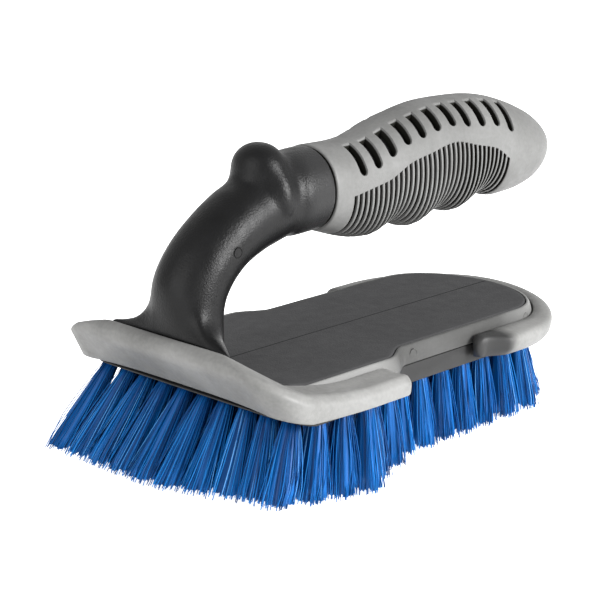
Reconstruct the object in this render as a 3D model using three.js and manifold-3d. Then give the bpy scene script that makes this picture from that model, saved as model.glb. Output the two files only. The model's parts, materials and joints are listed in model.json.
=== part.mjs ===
// Hand brush for wheels and bumpers.
// Millimetres. +Z up, +X towards the free end of the grip, the bristle tips rest on Z = 0,
// and the origin is under the middle of the brush.

import * as THREE from "three";
import { mergeVertices } from "three/addons/utils/BufferGeometryUtils.js";
import Module from "manifold-3d";

const wasm = await Module();
wasm.setup();

// ---------------------------------------------------------------- driving dimensions

const GAP = 0.3;

// Deck: the flat plate of the handle moulding.
const DECK_TOP = 40.9;
const DECK_THICKNESS = 3.5;
const DECK_FRONT = -91.2;
const DECK_FRONT_HALF_WIDTH = 38.2;
const DECK_FRONT_CORNER = 10;
const DECK_WAIST_HALF_WIDTH = 31.8;
const WAIST_START = -25.5;
const WAIST_END = -11.2;
const DECK_REAR_CENTRE = 52;
const DECK_REAR_REACH = 23;

// The deck sweeps up at the front to meet the foot of the arm, and a little along the sides.
const RAMP_START = -74;
const RAMP_HEIGHT = 13.6;
const RAMP_POWER = 1.6;
const SIDE_LIP_START = -62;
const SIDE_LIP_HEIGHT = 3;
const SIDE_LIP_WIDTH = 9;

// Arm, collar and grip.
const SEAM_X = -26;
const COLLAR_RADIUS = 14.8;
const COLLAR_Z = DECK_TOP + 52.9;
const GRIP_END = 102.7;
const SLEEVE_WALL = 3;
const CORE_END = 80;
const FINGER_PITCH = 24;
const FIRST_FINGER_X = -1;
const FINGER_COUNT = 4;
const FINGER_DEPTH = 3.6;
const SLOT_COUNT = 11;
const SLOT_PITCH = 7.92;
const SLOT_WIDTH = 3.6;
const FIRST_SLOT_X = -11.4;
const HANG_HOLE_X = 90;
const HANG_HOLE_RADIUS = 3.5;

// Rim band round the deck, and the bristle block under it.
const RIM_START = -71.4;
const RIM_THICKNESS = 2.3;
const RIM_TOP = DECK_TOP - 0.2;
const PARTING_Z = DECK_TOP - 7.2;
const BLOCK_BOTTOM = DECK_TOP - 14.3;
const BLOCK_RISE_START = -40;
const BLOCK_FRONT = -84;
const BLOCK_FRONT_RISE = 8;

// Tufts.
const ROW_COUNT = 14;
const FIRST_ROW_X = -77;
const ROW_PITCH = 11.3;
const TUFT_PITCH = 9.3;
const TUFT_ROOT_RADIUS = 2.2;
const TUFT_SEAT_DEPTH = 2.2;
const TUFT_SIDES = 6;
const TUFT_EDGE_MARGIN = 5.5;
const TIP_HALF_X = 5.2;
const TIP_OVERLAP = 0.9;

// Screws that draw the block up against the deck.
const SCREW_PLACES = [
  { row: 1.5, y: 19.6 },
  { row: 10.5, y: 14.2 },
];
const SCREW_SHANK_RADIUS = 1.7;
const SCREW_HEAD_RADIUS = 3.2;
const SCREW_HEAD_HEIGHT = 2.4;

// ---------------------------------------------------------------- materials

const PLASTICS = {
  blackPlastic: { color: 0x2b2b2d, roughness: 0.38, metalness: 0 },
  greyRubber: { color: 0xa3a3a1, roughness: 0.62, metalness: 0 },
  greyPlastic: { color: 0x747474, roughness: 0.5, metalness: 0 },
  blueBristle: { color: 0x1f5fb8, roughness: 0.45, metalness: 0 },
  zincSteel: { color: 0xb9bcc0, roughness: 0.35, metalness: 1 },
};

function material(name) {
  return new THREE.MeshStandardMaterial(PLASTICS[name]);
}

// ---------------------------------------------------------------- solids

function smoothStep(low, high, value) {
  const t = THREE.MathUtils.clamp((value - low) / (high - low), 0, 1);
  return t * t * (3 - 2 * t);
}

function signedVolume(positions, triangles) {
  const a = new THREE.Vector3();
  const b = new THREE.Vector3();
  const c = new THREE.Vector3();
  let volume = 0;
  for (const [i, j, k] of triangles) {
    a.fromArray(positions[i]);
    b.fromArray(positions[j]);
    c.fromArray(positions[k]);
    volume += a.dot(b.cross(c)) / 6;
  }
  return volume;
}

// A closed geometry from points and triangles, turned so that its faces point out.
function closedGeometry(positions, triangles) {
  const inward = signedVolume(positions, triangles) < 0;
  const index = triangles.flatMap(([i, j, k]) => (inward ? [i, k, j] : [i, j, k]));
  const geometry = new THREE.BufferGeometry();
  geometry.setAttribute("position", new THREE.Float32BufferAttribute(positions.flat(), 3));
  geometry.setIndex(index);
  return geometry;
}

// Skin through rings that have the same number of points, closed at both ends.
function loft(rings) {
  const count = rings[0].length;
  const positions = rings.flat();
  const triangles = [];
  for (let r = 0; r + 1 < rings.length; r += 1) {
    for (let p = 0; p < count; p += 1) {
      const next = (p + 1) % count;
      const a = r * count + p;
      const b = r * count + next;
      triangles.push([a, b, b + count], [a, b + count, a + count]);
    }
  }
  for (const ring of [0, rings.length - 1]) {
    const start = ring * count;
    const middle = new THREE.Vector3();
    rings[ring].forEach((point) => middle.add(new THREE.Vector3(...point)));
    middle.divideScalar(count);
    positions.push(middle.toArray());
    const centre = positions.length - 1;
    for (let p = 0; p < count; p += 1) {
      const a = start + p;
      const b = start + ((p + 1) % count);
      triangles.push(ring === 0 ? [centre, b, a] : [centre, a, b]);
    }
  }
  return closedGeometry(positions, triangles);
}

// A plate between a lower and an upper surface, over stations along X.
function slab(stations, halfWidth, lower, upper, columns) {
  const rings = stations.map((x) => {
    const across = [];
    for (let c = 0; c <= columns; c += 1) {
      across.push(halfWidth(x) * ((2 * c) / columns - 1));
    }
    const under = across.map((y) => [x, y, lower(x, y)]);
    const over = across.map((y) => [x, y, upper(x, y)]).reverse();
    return [...under, ...over];
  });
  return loft(rings);
}

function toSolid(geometry) {
  const bare = geometry.clone();
  bare.deleteAttribute("normal");
  bare.deleteAttribute("uv");
  const merged = mergeVertices(bare, 1e-4);
  return new wasm.Manifold(
    new wasm.Mesh({
      numProp: 3,
      vertProperties: new Float32Array(merged.attributes.position.array),
      triVerts: new Uint32Array(merged.index.array),
    }),
  );
}

function toGeometry(solid) {
  const mesh = solid.getMesh();
  const geometry = new THREE.BufferGeometry();
  geometry.setAttribute("position", new THREE.BufferAttribute(mesh.vertProperties, 3));
  geometry.setIndex(new THREE.BufferAttribute(mesh.triVerts, 1));
  geometry.computeVertexNormals();
  return geometry;
}

function unite(geometries) {
  return geometries.map(toSolid).reduce((whole, next) => whole.add(next));
}

function cut(solid, geometries) {
  return geometries.map(toSolid).reduce((whole, tool) => whole.subtract(tool), solid);
}

function even(from, to, steps) {
  return Array.from({ length: steps + 1 }, (_, i) => from + ((to - from) * i) / steps);
}

// A smooth value along X, through [x, value] pairs.
function profile(pairs) {
  const spread = pairs.map(([x, value]) => new THREE.Vector2(x, value));
  return (x) => {
    const last = spread.length - 1;
    if (x <= spread[0].x) return spread[0].y;
    if (x >= spread[last].x) return spread[last].y;
    const i = spread.findIndex((point) => point.x >= x) - 1;
    const [before, a, b, after] = [i - 1, i, i + 1, i + 2].map(
      (k) => spread[THREE.MathUtils.clamp(k, 0, last)],
    );
    const width = b.x - a.x;
    const slopeA = i === 0 ? (b.y - a.y) / width : (b.y - before.y) / (b.x - before.x);
    const slopeB = i + 1 === last ? (b.y - a.y) / width : (after.y - a.y) / (after.x - a.x);
    const t = (x - a.x) / width;
    const flat = 2 * t ** 3 - 3 * t ** 2 + 1;
    return (
      flat * a.y +
      (1 - flat) * b.y +
      (t ** 3 - 2 * t ** 2 + t) * width * slopeA +
      (t ** 3 - t ** 2) * width * slopeB
    );
  };
}

// ---------------------------------------------------------------- deck outline

// Half width of the deck at x: rounded front corners, a step in to the waist, a round rear.
function deckHalfWidth(x) {
  const cornerStart = DECK_FRONT + DECK_FRONT_CORNER;
  if (x < cornerStart) {
    const inset = cornerStart - x;
    const straight = DECK_FRONT_HALF_WIDTH - DECK_FRONT_CORNER;
    return straight + Math.sqrt(Math.max(0, DECK_FRONT_CORNER ** 2 - inset ** 2));
  }
  const narrowing = DECK_FRONT_HALF_WIDTH - DECK_WAIST_HALF_WIDTH;
  const side = DECK_FRONT_HALF_WIDTH - narrowing * smoothStep(WAIST_START, WAIST_END, x);
  const along = Math.max(0, (x - DECK_REAR_CENTRE) / DECK_REAR_REACH);
  return side * Math.sqrt(Math.max(0, 1 - along ** 2));
}

function deckTop(x, y) {
  const climb = Math.max(0, (RAMP_START - x) / (RAMP_START - DECK_FRONT)) ** RAMP_POWER;
  const inner = DECK_FRONT_HALF_WIDTH - SIDE_LIP_WIDTH;
  const across = smoothStep(inner, DECK_FRONT_HALF_WIDTH, Math.abs(y)) ** 1.5;
  const along = 1 - smoothStep(RAMP_START - 6, SIDE_LIP_START, x);
  return DECK_TOP + RAMP_HEIGHT * climb + SIDE_LIP_HEIGHT * across * along * (1 - climb);
}

// Stations that crowd where the outline curves.
function deckStations(front, rear) {
  const cornerSteps = [0, 0.15, 0.4, 0.7, 1].map((t) => front + (RAMP_START - front) * t);
  const sides = [-62, -50, -39, -36, -33, -30, WAIST_START, -21, -16, WAIST_END, 20, DECK_REAR_CENTRE];
  const rounding = [0.35, 0.6, 0.8, 0.92, 0.98, 1].map((t) => {
    return DECK_REAR_CENTRE + (rear - DECK_REAR_CENTRE) * t;
  });
  return [...cornerSteps, ...sides, ...rounding];
}

// ---------------------------------------------------------------- handle moulding

// Sections of the arm: middle x, height above the deck, tilt of the section in degrees,
// half thickness and half width.
const ARM_SECTIONS = [
  [-80.6, -2.0, 0, 9.6, 13.0],
  [-80.9, 14.2, 2, 10.1, 13.4],
  [-81.7, 19.5, 9, 11.0, 13.5],
  [-80.6, 26.1, 22, 11.6, 13.3],
  [-75.4, 34.1, 36, 11.7, 13.0],
  [-68.0, 40.6, 50, 11.6, 12.8],
  [-57.6, 46.1, 66, 12.2, 13.0],
  [-46.5, 50.2, 78, 13.6, 13.8],
  [-38.0, 52.3, 88, 14.8, 14.8],
  [SEAM_X, COLLAR_Z - DECK_TOP, 90, COLLAR_RADIUS, COLLAR_RADIUS],
];

// The foot spreads to the full width of the bumper's straight front.
// Levels: height above the deck, half width, reach back, and how far the front draws in.
const FOOT_LEVELS = [
  [-2.0, 29.0, 22.0, 0],
  [RAMP_HEIGHT, 28.2, 20.5, 0],
  [14.9, 23.0, 18.5, 0.3],
  [17.2, 18.0, 16.0, 0.8],
  [20.5, 14.6, 12.5, 2.0],
  [26.0, 11.0, 8.0, 4.0],
];
const FOOT_SIDE_STEPS = 6;
const FOOT_HOLLOW = 1.25;
const ARM_SIDES = 20;
const THUMB_BUMP = { x: -48.5, z: DECK_TOP + 63.7, radius: 9.2 };

function squircle(angle, halfA, halfB, square) {
  const power = 2 / square;
  const a = Math.sign(Math.cos(angle)) * Math.abs(Math.cos(angle)) ** power * halfA;
  const b = Math.sign(Math.sin(angle)) * Math.abs(Math.sin(angle)) ** power * halfB;
  return [a, b];
}

function armRing([x, up, tiltDegrees, thickness, width]) {
  const tilt = THREE.MathUtils.degToRad(tiltDegrees);
  return Array.from({ length: ARM_SIDES }, (_, i) => {
    const [a, b] = squircle((2 * Math.PI * i) / ARM_SIDES, thickness, width, 2);
    return [x - a * Math.cos(tilt), b, DECK_TOP + up + a * Math.sin(tilt)];
  });
}

// Straight across the front, then drawn in to a rounded point at the back.
function footRing([up, halfWidth, reach, drawn]) {
  const side = even(0, 1, FOOT_SIDE_STEPS).map((t) => {
    return [DECK_FRONT + drawn + reach * t, halfWidth * (1 - t ** 1.6) ** FOOT_HOLLOW + 0.6 * t];
  });
  const left = side.map(([x, y]) => [x, y, DECK_TOP + up]);
  const right = side.map(([x, y]) => [x, -y, DECK_TOP + up]);
  return [...left, ...right.reverse()];
}

// ---------------------------------------------------------------- grip shape

// Heights of the grip's upper and lower lines above and below the collar's middle.
const gripTop = profile([
  [SEAM_X, COLLAR_RADIUS],
  [-6, 15.0],
  [12, 19.6],
  [30, 22.7],
  [48, 22.9],
  [64, 21.4],
  [78, 17.4],
  [91, 11.7],
  [GRIP_END, 5.7],
]);
const gripBottom = profile([
  [SEAM_X, -COLLAR_RADIUS],
  [-5, -21],
  [30, -21.5],
  [66, -18.7],
  [80, -17.7],
  [90, -14.7],
  [GRIP_END, -8.3],
]);
const gripHalfWidth = profile([
  [SEAM_X, COLLAR_RADIUS],
  [0, 15.6],
  [40, 16.8],
  [70, 16.2],
  [90, 14.4],
  [GRIP_END, 12],
]);
const END_ROUNDING = 16;

// Hollows between the finger bumps, cut into the underside.
function fingerHollow(x) {
  const turns = (x - FIRST_FINGER_X) / FINGER_PITCH;
  if (turns <= 0 || turns >= FINGER_COUNT - 1) return 0;
  return FINGER_DEPTH * Math.sin(Math.PI * turns) ** 2;
}

// A ring round the grip at x, moved in by the given amount.
function gripRing(x, inset, sides) {
  const along = Math.max(0, (x - (GRIP_END - END_ROUNDING)) / END_ROUNDING);
  const shrink = Math.sqrt(Math.max(0.0025, 1 - along ** 2));
  const top = gripTop(x);
  const bottom = gripBottom(x) + fingerHollow(x);
  const middle = COLLAR_Z + (top + bottom) / 2;
  const halfHeight = ((top - bottom) / 2) * shrink - inset;
  const halfWidth = gripHalfWidth(x) * shrink - inset;
  return Array.from({ length: sides }, (_, i) => {
    const [y, z] = squircle((2 * Math.PI * i) / sides, halfWidth, halfHeight, 2.15);
    return [x, y, middle + z];
  });
}

const CORE_SIDES = 14;
const SLEEVE_SIDES = 20;

function gripCore() {
  const stations = even(SEAM_X - 2, CORE_END, 12);
  return loft(stations.map((x) => gripRing(x, SLEEVE_WALL + GAP, CORE_SIDES)));
}

function handleFrame() {
  const plate = slab(
    deckStations(DECK_FRONT, DECK_REAR_CENTRE + DECK_REAR_REACH - 0.1),
    deckHalfWidth,
    (x, y) => deckTop(x, y) - DECK_THICKNESS,
    deckTop,
    6,
  );
  const arm = loft(ARM_SECTIONS.map(armRing));
  const foot = loft(FOOT_LEVELS.map(footRing));
  const bump = new THREE.SphereGeometry(THUMB_BUMP.radius, 14, 10);
  bump.translate(THUMB_BUMP.x, 0, THUMB_BUMP.z);
  const space = slab(
    [DECK_FRONT - 5, ...even(DECK_FRONT, RAMP_START, 4), DECK_REAR_CENTRE],
    () => DECK_FRONT_HALF_WIDTH - SIDE_LIP_WIDTH,
    () => 0,
    (x) => deckTop(Math.max(x, DECK_FRONT), 0) - DECK_THICKNESS,
    2,
  );
  return cut(unite([arm, foot, bump, gripCore()]), [space]).add(toSolid(plate));
}

// ---------------------------------------------------------------- grip sleeve

// Slots run down each side between these angles, in degrees up from level. Their low ends rise
// by SLOT_LOW_RISE towards the middle of the row.
const SLOT_TOP_ANGLE = 70;
const SLOT_LOW_ANGLE = 21;
const SLOT_LOW_RISE = 15;
const SLOT_CUTTER_STEPS = 3;
// Distances from the middle of the grip that a slot's cutter reaches between.
const SLOT_CUTTER_NEAR = 8;
const SLOT_CUTTER_FAR = 30;

// A radial cutter for one slot, on the side given by 1 or -1.
function slotCutter(number, side) {
  const x = FIRST_SLOT_X + number * SLOT_PITCH;
  const middle = COLLAR_Z + (gripTop(x) + gripBottom(x)) / 2;
  const share = number / (SLOT_COUNT - 1);
  const lowAngle = SLOT_LOW_ANGLE + SLOT_LOW_RISE * Math.sin(Math.PI * share);
  const rings = even(SLOT_TOP_ANGLE, lowAngle, SLOT_CUTTER_STEPS).map((degrees) => {
    const angle = THREE.MathUtils.degToRad(degrees);
    const y = side * Math.cos(angle);
    const z = Math.sin(angle);
    const corner = (along, reach) => [x + along * SLOT_WIDTH, y * reach, middle + z * reach];
    return [
      corner(-0.5, SLOT_CUTTER_NEAR),
      corner(0.5, SLOT_CUTTER_NEAR),
      corner(0.5, SLOT_CUTTER_FAR),
      corner(-0.5, SLOT_CUTTER_FAR),
    ];
  });
  return loft(rings);
}

function gripSleeve() {
  const start = SEAM_X + GAP;
  const outer = loft(
    [...even(start, GRIP_END - END_ROUNDING, 17), ...[0.4, 0.7, 0.88, 0.97, 1].map((t) => {
      return GRIP_END - END_ROUNDING * (1 - t);
    })].map((x) => gripRing(x, 0, SLEEVE_SIDES)),
  );
  const bore = loft(even(start - 2, CORE_END + GAP, 12).map((x) => gripRing(x, SLEEVE_WALL, CORE_SIDES)));
  const hangHole = new THREE.CylinderGeometry(HANG_HOLE_RADIUS, HANG_HOLE_RADIUS, 80, 16);
  hangHole.rotateX(Math.PI / 2);
  hangHole.translate(HANG_HOLE_X, 0, COLLAR_Z);
  const slots = [];
  for (let i = 0; i < SLOT_COUNT; i += 1) {
    slots.push(slotCutter(i, -1));
    slots.push(slotCutter(i, 1));
  }
  return cut(toSolid(outer), [bore, hangHole, ...slots]);
}

// ---------------------------------------------------------------- rubber round the deck

// A rail round the front: across it, a round corner that begins at x = corner, back to endX.
// travel is 0 in the middle of the front, 1 to 2 through the corner and 3 at endX.
function frontRail({ front, corner = front, side, radius, endX }, travel) {
  const t = Math.abs(travel);
  const hand = travel < 0 ? -1 : 1;
  if (t <= 1) return [THREE.MathUtils.lerp(front, corner, t ** 3), hand * t * (side - radius)];
  if (t <= 2) {
    const angle = ((t - 1) * Math.PI) / 2;
    const x = corner + radius * (1 - Math.cos(angle));
    return [x, hand * (side - radius * (1 - Math.sin(angle)))];
  }
  return [THREE.MathUtils.lerp(corner + radius, endX, t - 2), hand * side];
}

// Corners of the front bumper's section, from the top inner edge round the outside.
// frontUp and sideUp are heights above the deck at the front and along the sides.
const FRONT_BUMPER_END = -28.7;
const FRONT_BUMPER_RAILS = [
  { front: -91.5, side: 41.1, radius: 13, frontUp: 13.8, sideUp: -1.6 },
  { front: -93.6, side: 47.0, radius: 15, frontUp: 13.1, sideUp: -2.0 },
  { front: -94.9, side: 52.0, radius: 16, frontUp: 11.6, sideUp: -1.5 },
  { front: -95.4, side: 54.3, radius: 15, frontUp: 9.0, sideUp: -3.9 },
  { front: -94.2, side: 54.2, radius: 15, frontUp: 6.6, sideUp: -6.0 },
  { front: -84.9, corner: -87.5, side: 53.8, radius: 10, frontUp: -4.4, sideUp: -8.8 },
  { front: -83.1, side: 50.0, radius: 10, frontUp: -4.6, sideUp: -6.8 },
  { front: -83.1, side: 41.1, radius: 13, frontUp: -0.6, sideUp: -6.8 },
  { front: -91.5, side: 41.1, radius: 13, frontUp: 8.4, sideUp: -6.4 },
];
const FRONT_FALL_START = 0.9;
const FRONT_FALL_END = 2.7;

function towardsMiddle(ring, keep, shift) {
  const middle = new THREE.Vector3();
  ring.forEach((point) => middle.add(new THREE.Vector3(...point)));
  middle.divideScalar(ring.length);
  return ring.map((point) => {
    const moved = new THREE.Vector3(...point).sub(middle).multiplyScalar(keep).add(middle);
    return [moved.x + shift, moved.y, moved.z];
  });
}

const BUMPER_END_ROUNDING = 3.5;

// Sections that close a bumper with a rounded end; direction is the way the end faces along X.
function roundedEnd(ring, direction) {
  return [0.5, 0.86, 1].map((t) => {
    const keep = Math.max(0.12, Math.sqrt(1 - t * t));
    return towardsMiddle(ring, keep, direction * BUMPER_END_ROUNDING * t);
  });
}

function frontBumper() {
  const halfTravels = [0.5, 1, 1.2, 1.4, 1.6, 1.8, 2, 2.35, 2.7, 3];
  const travels = [...halfTravels.map((t) => -t).reverse(), 0, ...halfTravels];
  const endX = FRONT_BUMPER_END - BUMPER_END_ROUNDING;
  const rings = travels.map((travel) => {
    return FRONT_BUMPER_RAILS.map((rail) => {
      const [x, y] = frontRail({ ...rail, endX }, travel);
      const fall = smoothStep(FRONT_FALL_START, FRONT_FALL_END, Math.abs(travel));
      return [x, y, DECK_TOP + THREE.MathUtils.lerp(rail.frontUp, rail.sideUp, fall)];
    });
  });
  const rightEnd = roundedEnd(rings[0], 1).reverse();
  const leftEnd = roundedEnd(rings[rings.length - 1], 1);
  return loft([...rightEnd, ...rings, ...leftEnd]);
}

// A rail round the rear: straight back along the side, then a quarter of an ellipse.
// travel is 0 in the middle of the rear, 1 where the side begins and 2 at endX.
function rearRail({ centre, reach, side, endX }, travel) {
  const t = Math.abs(travel);
  const hand = travel < 0 ? -1 : 1;
  if (t <= 1) {
    const angle = (t * Math.PI) / 2;
    return [centre + reach * Math.cos(angle), hand * side * Math.sin(angle)];
  }
  return [THREE.MathUtils.lerp(centre, endX, t - 1), hand * side];
}

const REAR_BUMPER_END = 22;
const REAR_BUMPER_RAILS = [
  { centre: 52, reach: 25.9, side: 34.8, rearUp: -1.0, sideUp: -3.8 },
  { centre: 49, reach: 31.0, side: 39.0, rearUp: -0.6, sideUp: -3.0 },
  { centre: 45, reach: 38.0, side: 44.6, rearUp: -1.8, sideUp: -3.6 },
  { centre: 44, reach: 40.5, side: 46.0, rearUp: -4.0, sideUp: -5.4 },
  { centre: 44, reach: 39.8, side: 45.4, rearUp: -7.6, sideUp: -9.0 },
  { centre: 45, reach: 36.5, side: 43.0, rearUp: -10.6, sideUp: -11.6 },
  { centre: 52, reach: 25.9, side: 34.8, rearUp: -11.0, sideUp: -12.0 },
];
const SADDLE_LENGTH = 16;
const SADDLE_REACH = 0.42;

function rearBumper() {
  const halfTravels = [0.18, 0.36, 0.54, 0.7, 0.85, 1, 1.3, 1.5, 1.7, 1.85, 2];
  const travels = [...halfTravels.map((t) => -t).reverse(), 0, ...halfTravels];
  const inner = REAR_BUMPER_RAILS[0];
  const endX = REAR_BUMPER_END + BUMPER_END_ROUNDING;
  const rings = travels.map((travel) => {
    const [innerX, innerY] = rearRail({ ...inner, endX }, travel);
    return REAR_BUMPER_RAILS.map((rail) => {
      const [x, y] = rearRail({ ...rail, endX }, travel);
      const swell = smoothStep(REAR_BUMPER_END, REAR_BUMPER_END + SADDLE_LENGTH, innerX);
      const reach = THREE.MathUtils.lerp(SADDLE_REACH, 1, swell);
      const fall = smoothStep(0, 1, Math.abs(travel));
      const z = DECK_TOP + THREE.MathUtils.lerp(rail.rearUp, rail.sideUp, fall);
      return [THREE.MathUtils.lerp(innerX, x, reach), THREE.MathUtils.lerp(innerY, y, reach), z];
    });
  });
  const rightEnd = roundedEnd(rings[0], -1).reverse();
  const leftEnd = roundedEnd(rings[rings.length - 1], -1);
  return loft([...rightEnd, ...rings, ...leftEnd]);
}

// Points along the deck's edge from the right front corner, round the rear, to the left one.
function deckEdge() {
  const sideXs = [RIM_START, -60, -40, WAIST_START, -21.9, -18.4, -14.8, WAIST_END, 8, 30];
  const rearAngles = even(0, 90, 7);
  const right = sideXs.map((x) => [x, -deckHalfWidth(x)]);
  const rear = rearAngles.map((degrees) => {
    const angle = THREE.MathUtils.degToRad(degrees);
    const x = DECK_REAR_CENTRE + DECK_REAR_REACH * Math.sin(angle);
    return [x, -DECK_WAIST_HALF_WIDTH * Math.cos(angle)];
  });
  const half = [...right, ...rear];
  const mirrored = half.slice(0, -1).map(([x, y]) => [x, -y]);
  return [...half, ...mirrored.reverse()];
}

// The band's section: [distance out from the deck's edge, z].
const RIM_SECTION = [
  [GAP, PARTING_Z + GAP],
  [GAP + RIM_THICKNESS - 0.2, PARTING_Z + GAP],
  [GAP + RIM_THICKNESS, PARTING_Z + 2.4],
  [GAP + RIM_THICKNESS - 0.5, PARTING_Z + 5],
  [GAP + 0.9, RIM_TOP],
  [GAP, RIM_TOP],
];

function rimBand() {
  const edge = deckEdge().map(([x, y]) => new THREE.Vector2(x, y));
  const rings = edge.map((point, i) => {
    const before = edge[Math.max(0, i - 1)];
    const after = edge[Math.min(edge.length - 1, i + 1)];
    const along = after.clone().sub(before).normalize();
    return RIM_SECTION.map(([out, z]) => [point.x + along.y * out, point.y - along.x * out, z]);
  });
  return loft(rings);
}

// ---------------------------------------------------------------- bristle block

const BLOCK_CORNER = 10;
const BLOCK_OVERHANG = 2.1;
const BLOCK_FRONT_SIDE = 49.5;
// The block is wider and thinner under the front bumper, as a flange on each side that draws in
// to the deck's width between these places.
const FLANGE_BOTTOM = DECK_TOP - 10.2;
const FLANGE_INNER_SIDE = 34;
const FLANGE_OUTER_SIDE = 41.2;
const DRAW_IN_START = -39;
const DRAW_IN_END = -30;

function blockBottom(x, y) {
  const climb = Math.max(0, (BLOCK_RISE_START - x) / (BLOCK_RISE_START - BLOCK_FRONT));
  const bottom = BLOCK_BOTTOM + BLOCK_FRONT_RISE * climb ** 2;
  const outwards = smoothStep(FLANGE_INNER_SIDE, FLANGE_OUTER_SIDE, Math.abs(y));
  const flange = outwards * (1 - smoothStep(DRAW_IN_START, DRAW_IN_END, x));
  return bottom + Math.max(0, FLANGE_BOTTOM - bottom) * flange;
}

function blockHalfWidth(x) {
  const cornerStart = BLOCK_FRONT + BLOCK_CORNER;
  if (x < cornerStart) {
    const straight = BLOCK_FRONT_SIDE - BLOCK_CORNER;
    return straight + Math.sqrt(Math.max(0, BLOCK_CORNER ** 2 - (cornerStart - x) ** 2));
  }
  if (x > DECK_REAR_CENTRE) {
    const along = (x - DECK_REAR_CENTRE) / (DECK_REAR_REACH + BLOCK_OVERHANG);
    return (DECK_WAIST_HALF_WIDTH + BLOCK_OVERHANG) * Math.sqrt(Math.max(0, 1 - along ** 2));
  }
  const drawnIn = smoothStep(DRAW_IN_START, DRAW_IN_END, x);
  return THREE.MathUtils.lerp(BLOCK_FRONT_SIDE, deckHalfWidth(x) + BLOCK_OVERHANG, drawnIn);
}

// The plug on top of the block, which fills the space under the deck.
const PLUG_INSET = 1;
const PLUG_FRONT = -82.7;
const PLUG_CORNER = 12;
const FLANGE_THICKNESS = 2.7;
const FLANGE_TOP_LIMIT = DECK_TOP - 5.55;

function plugHalfWidth(x) {
  const inset = Math.max(0, PLUG_FRONT + PLUG_CORNER - x);
  const drawnIn = PLUG_CORNER - Math.sqrt(Math.max(0, PLUG_CORNER ** 2 - inset ** 2));
  return deckHalfWidth(x) - PLUG_INSET - drawnIn;
}

function blockBody() {
  const lower = slab(
    deckStations(BLOCK_FRONT, DECK_REAR_CENTRE + DECK_REAR_REACH + BLOCK_OVERHANG - 0.1),
    blockHalfWidth,
    blockBottom,
    (x, y) => Math.max(PARTING_Z, Math.min(FLANGE_TOP_LIMIT, blockBottom(x, y) + FLANGE_THICKNESS)),
    12,
  );
  const plug = slab(
    [-82.6, -81, -78, -74, -50, WAIST_START, -21, -16, WAIST_END, 20, 52, 62, 69, 72.5],
    plugHalfWidth,
    () => PARTING_Z - 1,
    (x) => deckTop(x, 0) - DECK_THICKNESS - GAP,
    2,
  );
  return unite([lower, plug]);
}

// ---------------------------------------------------------------- tufts

const HOLE_CLEARANCE = 0.3;
const HOLE_RADIUS = 3.1;

function rowX(row) {
  return FIRST_ROW_X + row * ROW_PITCH;
}

// The places of a row's tufts across the block, at least TUFT_PITCH apart.
function tuftYs(x) {
  const usable = blockHalfWidth(x) - TUFT_EDGE_MARGIN;
  return even(-usable, usable, Math.floor((2 * usable) / TUFT_PITCH));
}

const FORWARD_LEAN_START = -35;
const FORWARD_LEAN = GRIP_END + FIRST_ROW_X - TIP_HALF_X * Math.cos(Math.PI / 6);
const REAR_LEAN_START = 36;
const REAR_LEAN = 6;
const SIDE_SPREAD = 1.05;
const FRONT_TIP_RISE = 5.5;
const CORNER_TIP_RISE = 3;

// How far the tufts of a row have turned forwards, from 0 to 1 in the front row.
function frontness(x) {
  return Math.max(0, (FORWARD_LEAN_START - x) / (FORWARD_LEAN_START - FIRST_ROW_X)) ** 1.3;
}

function tuftLine(x, y) {
  const front = frontness(x);
  const lastX = rowX(ROW_COUNT - 1);
  const back = Math.max(0, (x - REAR_LEAN_START) / (lastX - REAR_LEAN_START));
  const root = new THREE.Vector3(x, y, blockBottom(x, y) + TUFT_SEAT_DEPTH);
  const corner = (y / BLOCK_FRONT_SIDE) ** 2;
  const tip = new THREE.Vector3(
    x - FORWARD_LEAN * front + REAR_LEAN * back,
    y * SIDE_SPREAD,
    (FRONT_TIP_RISE + CORNER_TIP_RISE * corner) * front,
  );
  return { root, tip };
}

// An upright section of a tuft: six sides, level, round the given middle.
function tuftRing(middle, halfX, halfY) {
  return Array.from({ length: TUFT_SIDES }, (_, i) => {
    const angle = (2 * Math.PI * i) / TUFT_SIDES;
    return [middle.x + halfX * Math.sin(angle), middle.y + halfY * Math.cos(angle), middle.z];
  });
}

function tuft(x, y, pitch) {
  const { root, tip } = tuftLine(x, y);
  const tipHalfY = (pitch * SIDE_SPREAD) / 2 + TIP_OVERLAP;
  return loft([
    tuftRing(root, TUFT_ROOT_RADIUS, TUFT_ROOT_RADIUS),
    tuftRing(tip, TIP_HALF_X, tipHalfY),
  ]);
}

function tuftHole(x, y) {
  const { root, tip } = tuftLine(x, y);
  const along = tip.clone().sub(root);
  const above = root.clone().addScaledVector(along, -HOLE_CLEARANCE / (root.z - tip.z));
  const below = root.clone().addScaledVector(along, (TUFT_SEAT_DEPTH + 3) / (root.z - tip.z));
  return loft([above, below].map((middle) => tuftRing(middle, HOLE_RADIUS, HOLE_RADIUS)));
}

function tuftRow(row) {
  const x = rowX(row);
  const ys = tuftYs(x);
  const pitch = ys[1] - ys[0];
  return unite(ys.map((y) => tuft(x, y, pitch)));
}

// ---------------------------------------------------------------- screws

function screwPlaces() {
  return SCREW_PLACES.flatMap(({ row, y }) => [-y, y].map((side) => [rowX(row), side]));
}

const COUNTERBORE_DEPTH = 3;
const BOSS_RADIUS = 3.9;
const BOSS_BOTTOM = BLOCK_BOTTOM + 5.5;
const SCREW_TIP = DECK_TOP - 2.4;

function uprightCylinder(radius, bottom, top, [x, y], sides = 12) {
  const cylinder = new THREE.CylinderGeometry(radius, radius, top - bottom, sides);
  cylinder.rotateX(Math.PI / 2);
  cylinder.translate(x, y, (top + bottom) / 2);
  return cylinder;
}

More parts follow.
